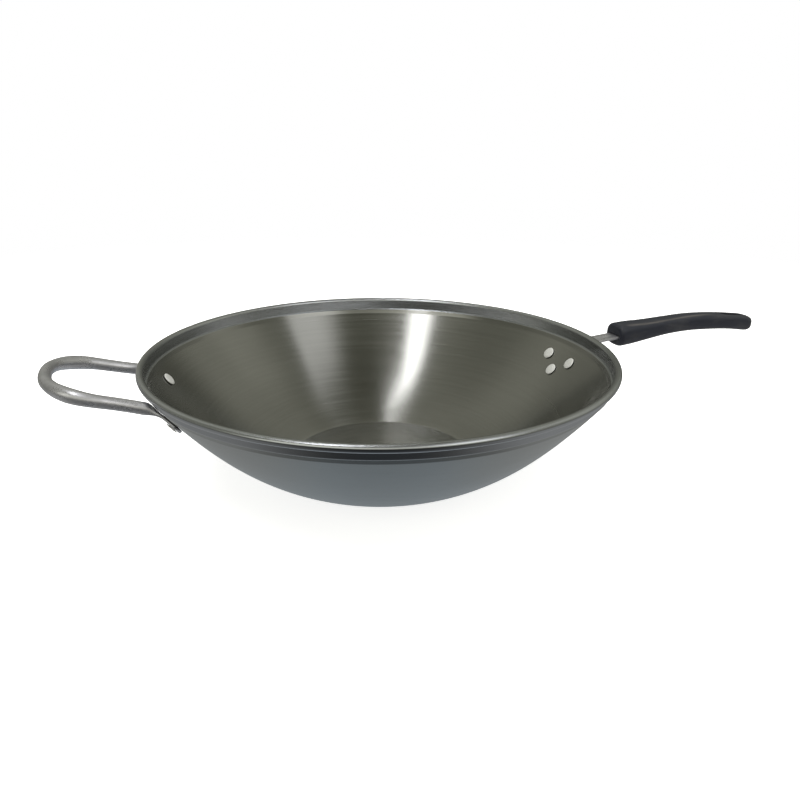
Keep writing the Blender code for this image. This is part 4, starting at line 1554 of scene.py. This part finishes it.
    def build(self, azimuth: float) -> None:
        """Make the room the scene's world, seen only in reflections, with white behind the wok.

        Args:
            azimuth: The camera's turn about Z.
        """
        world = bpy.data.worlds.new("studio")
        bpy.context.scene.world = world
        world.use_nodes = True
        world.node_tree.nodes.clear()
        graph = Graph(world.node_tree, "Generated")
        turned = graph.put("ShaderNodeVectorRotate", {"Vector": graph.place, "Angle": -azimuth},
                           rotation_type="Z_AXIS").outputs[0]
        split = graph.put("ShaderNodeSeparateXYZ", {0: turned})
        axes = tuple(split.outputs[axis.value] for axis in Axis)
        right, _, up = axes
        upper = graph.mix(graph.spread(up, 0.05, 0.55, 0.0, 1.0), self.wall, self.ceiling)
        aside = graph.spread(graph.math("ABSOLUTE", right), 0.15, 0.5, 0.0, 1.0)
        lower = graph.mix(aside, self.below, self.below_side)
        whole = graph.mix(graph.spread(up, -0.35, 0.0, 1.0, 0.0), upper, lower)
        total = 0.0
        for patch in self.glows:
            total = graph.math("ADD", total, patch.glow(graph, axes))
        side = graph.scaled(self.side_tint, total)
        panel = graph.scaled((1.0, 1.0, 1.0), self.panel_glow(graph, axes))
        glow = graph.vector("ADD", side, panel).outputs[0]
        shade = self.shade(graph, turned, axes)
        light = graph.vector("ADD", graph.scaled(whole, shade), glow).outputs[0]
        room = graph.put("ShaderNodeBackground", {0: light})
        white = graph.put("ShaderNodeBackground", {0: (1.0, 1.0, 1.0, 1.0)})
        path = graph.put("ShaderNodeLightPath", {})
        seen = graph.put("ShaderNodeMixShader", {0: path.outputs["Is Camera Ray"], 1: room.outputs[0],
                                                 2: white.outputs[0]})
        graph.put("ShaderNodeOutputWorld", {0: seen.outputs[0]})


@dataclass(frozen=True)
class Studio:
    """Camera, lights, floor and surroundings."""

    distance: float = 0.540
    elevation: float = math.radians(17.11)
    azimuth: float = math.radians(-18.6)
    focal_pixels: float = 692.74
    image_pixels: float = 800.0
    sight_pixel: tuple = (381.18, 351.86)
    floor_radius: float = 1.4
    floor_sides: int = 128
    lights: tuple = (
        SoftBox("near_strip", (-0.262, -0.50, 0.66), (-0.300, -0.18, 1.20), 0.150, 4.3),
        SoftBox("middle_strip", (-0.300, -0.18, 1.20), (-0.175, 0.25, 1.92), 0.100, 5.5),
        SoftBox("far_strip", (-0.175, 0.25, 1.92), (-0.085, 1.33, 3.76), 0.092, 4.6),
        SoftBox("floor_fill", (0.0, -1.5, 2.4), (0.0, 1.5, 2.4), 3.0, 2.4, in_reflections=False),
    )

    def camera(self, target: Vector) -> None:
        """Place the camera so that the target falls on the sight pixel.

        Args:
            target: The bead's centre on the bowl's axis.
        """
        level = math.cos(self.elevation)
        back = Vector((math.sin(self.azimuth) * level, -math.cos(self.azimuth) * level,
                       math.sin(self.elevation)))
        right = (-back).cross(Vector((0.0, 0.0, 1.0))).normalized()
        up = right.cross(-back)
        offset = self.sight_pixel[0] - self.image_pixels / 2.0
        climb = self.image_pixels / 2.0 - self.sight_pixel[1]
        yaw = math.atan2(offset, self.focal_pixels)
        pitch = math.atan2(climb, math.hypot(self.focal_pixels, offset))
        swing = Matrix.Rotation(yaw, 3, up)
        right, ahead = swing @ right, swing @ -back
        nod = Matrix.Rotation(-pitch, 3, right)
        ahead, up = nod @ ahead, nod @ up
        data = bpy.data.cameras.new("camera")
        data.sensor_width = 36.0
        data.lens = self.focal_pixels / self.image_pixels * data.sensor_width
        data.clip_start = 0.01
        camera = bpy.data.objects.new("camera", data)
        bpy.context.scene.collection.objects.link(camera)
        turn = Matrix((right, up, -ahead)).transposed().to_4x4()
        camera.matrix_world = Matrix.Translation(target + back * self.distance) @ turn
        bpy.context.scene.camera = camera

    def floor(self) -> None:
        """Lay a pale disc under the wok."""
        angles = np.linspace(0.0, 2.0 * np.pi, self.floor_sides, endpoint=False)
        edge = np.stack([np.cos(angles), np.sin(angles), np.zeros(self.floor_sides)], axis=1)
        mesh = bpy.data.meshes.new("floor")
        mesh.from_pydata((edge * self.floor_radius).tolist(), [], [list(range(self.floor_sides))])
        mesh.materials.append(PaleFloor().material())
        floor = bpy.data.objects.new("floor", mesh)
        bpy.context.scene.collection.objects.link(floor)
        floor.visible_glossy = False

    def build(self, target: Vector) -> None:
        """Set up the camera, the lights, the floor and the room.

        Args:
            target: The bead's centre on the bowl's axis.
        """
        self.camera(target)
        turn = Matrix.Rotation(self.azimuth, 3, "Z")
        for light in self.lights:
            light.build(turn, target)
        Room().build(self.azimuth)
        self.floor()
        view = bpy.context.scene.view_settings
        view.view_transform = "Standard"
        view.look = "None"


def finish_screw(material: bpy.types.Material) -> None:
    """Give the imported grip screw, which is shown as it is, its finish.

    Args:
        material: The screw's material.
    """
    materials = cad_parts["grip_screw"].data.materials
    materials.clear()
    materials.append(material)


def main() -> None:
    """Build every piece in order, then the studio."""
    logging.basicConfig(level=logging.INFO, format="%(message)s")
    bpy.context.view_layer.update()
    bowl = Bowl()
    spun = SpunSteel(bowl.ledge_height, bowl.base_radius).material()
    polished = PolishedSteel().material()
    rivet_steel = RivetSteel().material()
    phenolic = BlackPhenolic().material()

    bowl.build(spun)
    loop = LoopHandle()
    loop.build(bowl, polished)
    bracket = Bracket()
    bracket.build(bowl, polished)
    half_pitch = bracket.rivet_pitch / 2.0
    plate, foot = bracket.gap + bracket.strap, loop.gap + loop.foot_thickness
    front = Side.LONG_HANDLE
    rivets = (
        Rivet("rivet_plate_left", "bracket_rivet_left", bracket.rivet_drop, half_pitch, front, plate),
        Rivet("rivet_plate_right", "bracket_rivet_right", bracket.rivet_drop, -half_pitch, front, plate),
        Rivet("rivet_plate_lower", "bracket_rivet_lower", bracket.lower_drop, 0.0, front, plate),
        Rivet("rivet_loop_left", "loop_rivet_left", loop.foot_drop, loop.foot_half_span, Side.LOOP, foot),
        Rivet("rivet_loop_right", "loop_rivet_right", loop.foot_drop, -loop.foot_half_span, Side.LOOP, foot),
    )
    for rivet in rivets:
        rivet.build(bowl, rivet_steel)
    x, z, _, _ = bracket.path(bowl)
    grip = Grip(bowl.bead_height)
    grip.build(phenolic, float(np.interp(grip.face_x, x, z)))
    finish_screw(polished)

    Studio().build(Vector((0.0, 0.0, bowl.bead_height)))


if __name__ == "__main__":
    main()
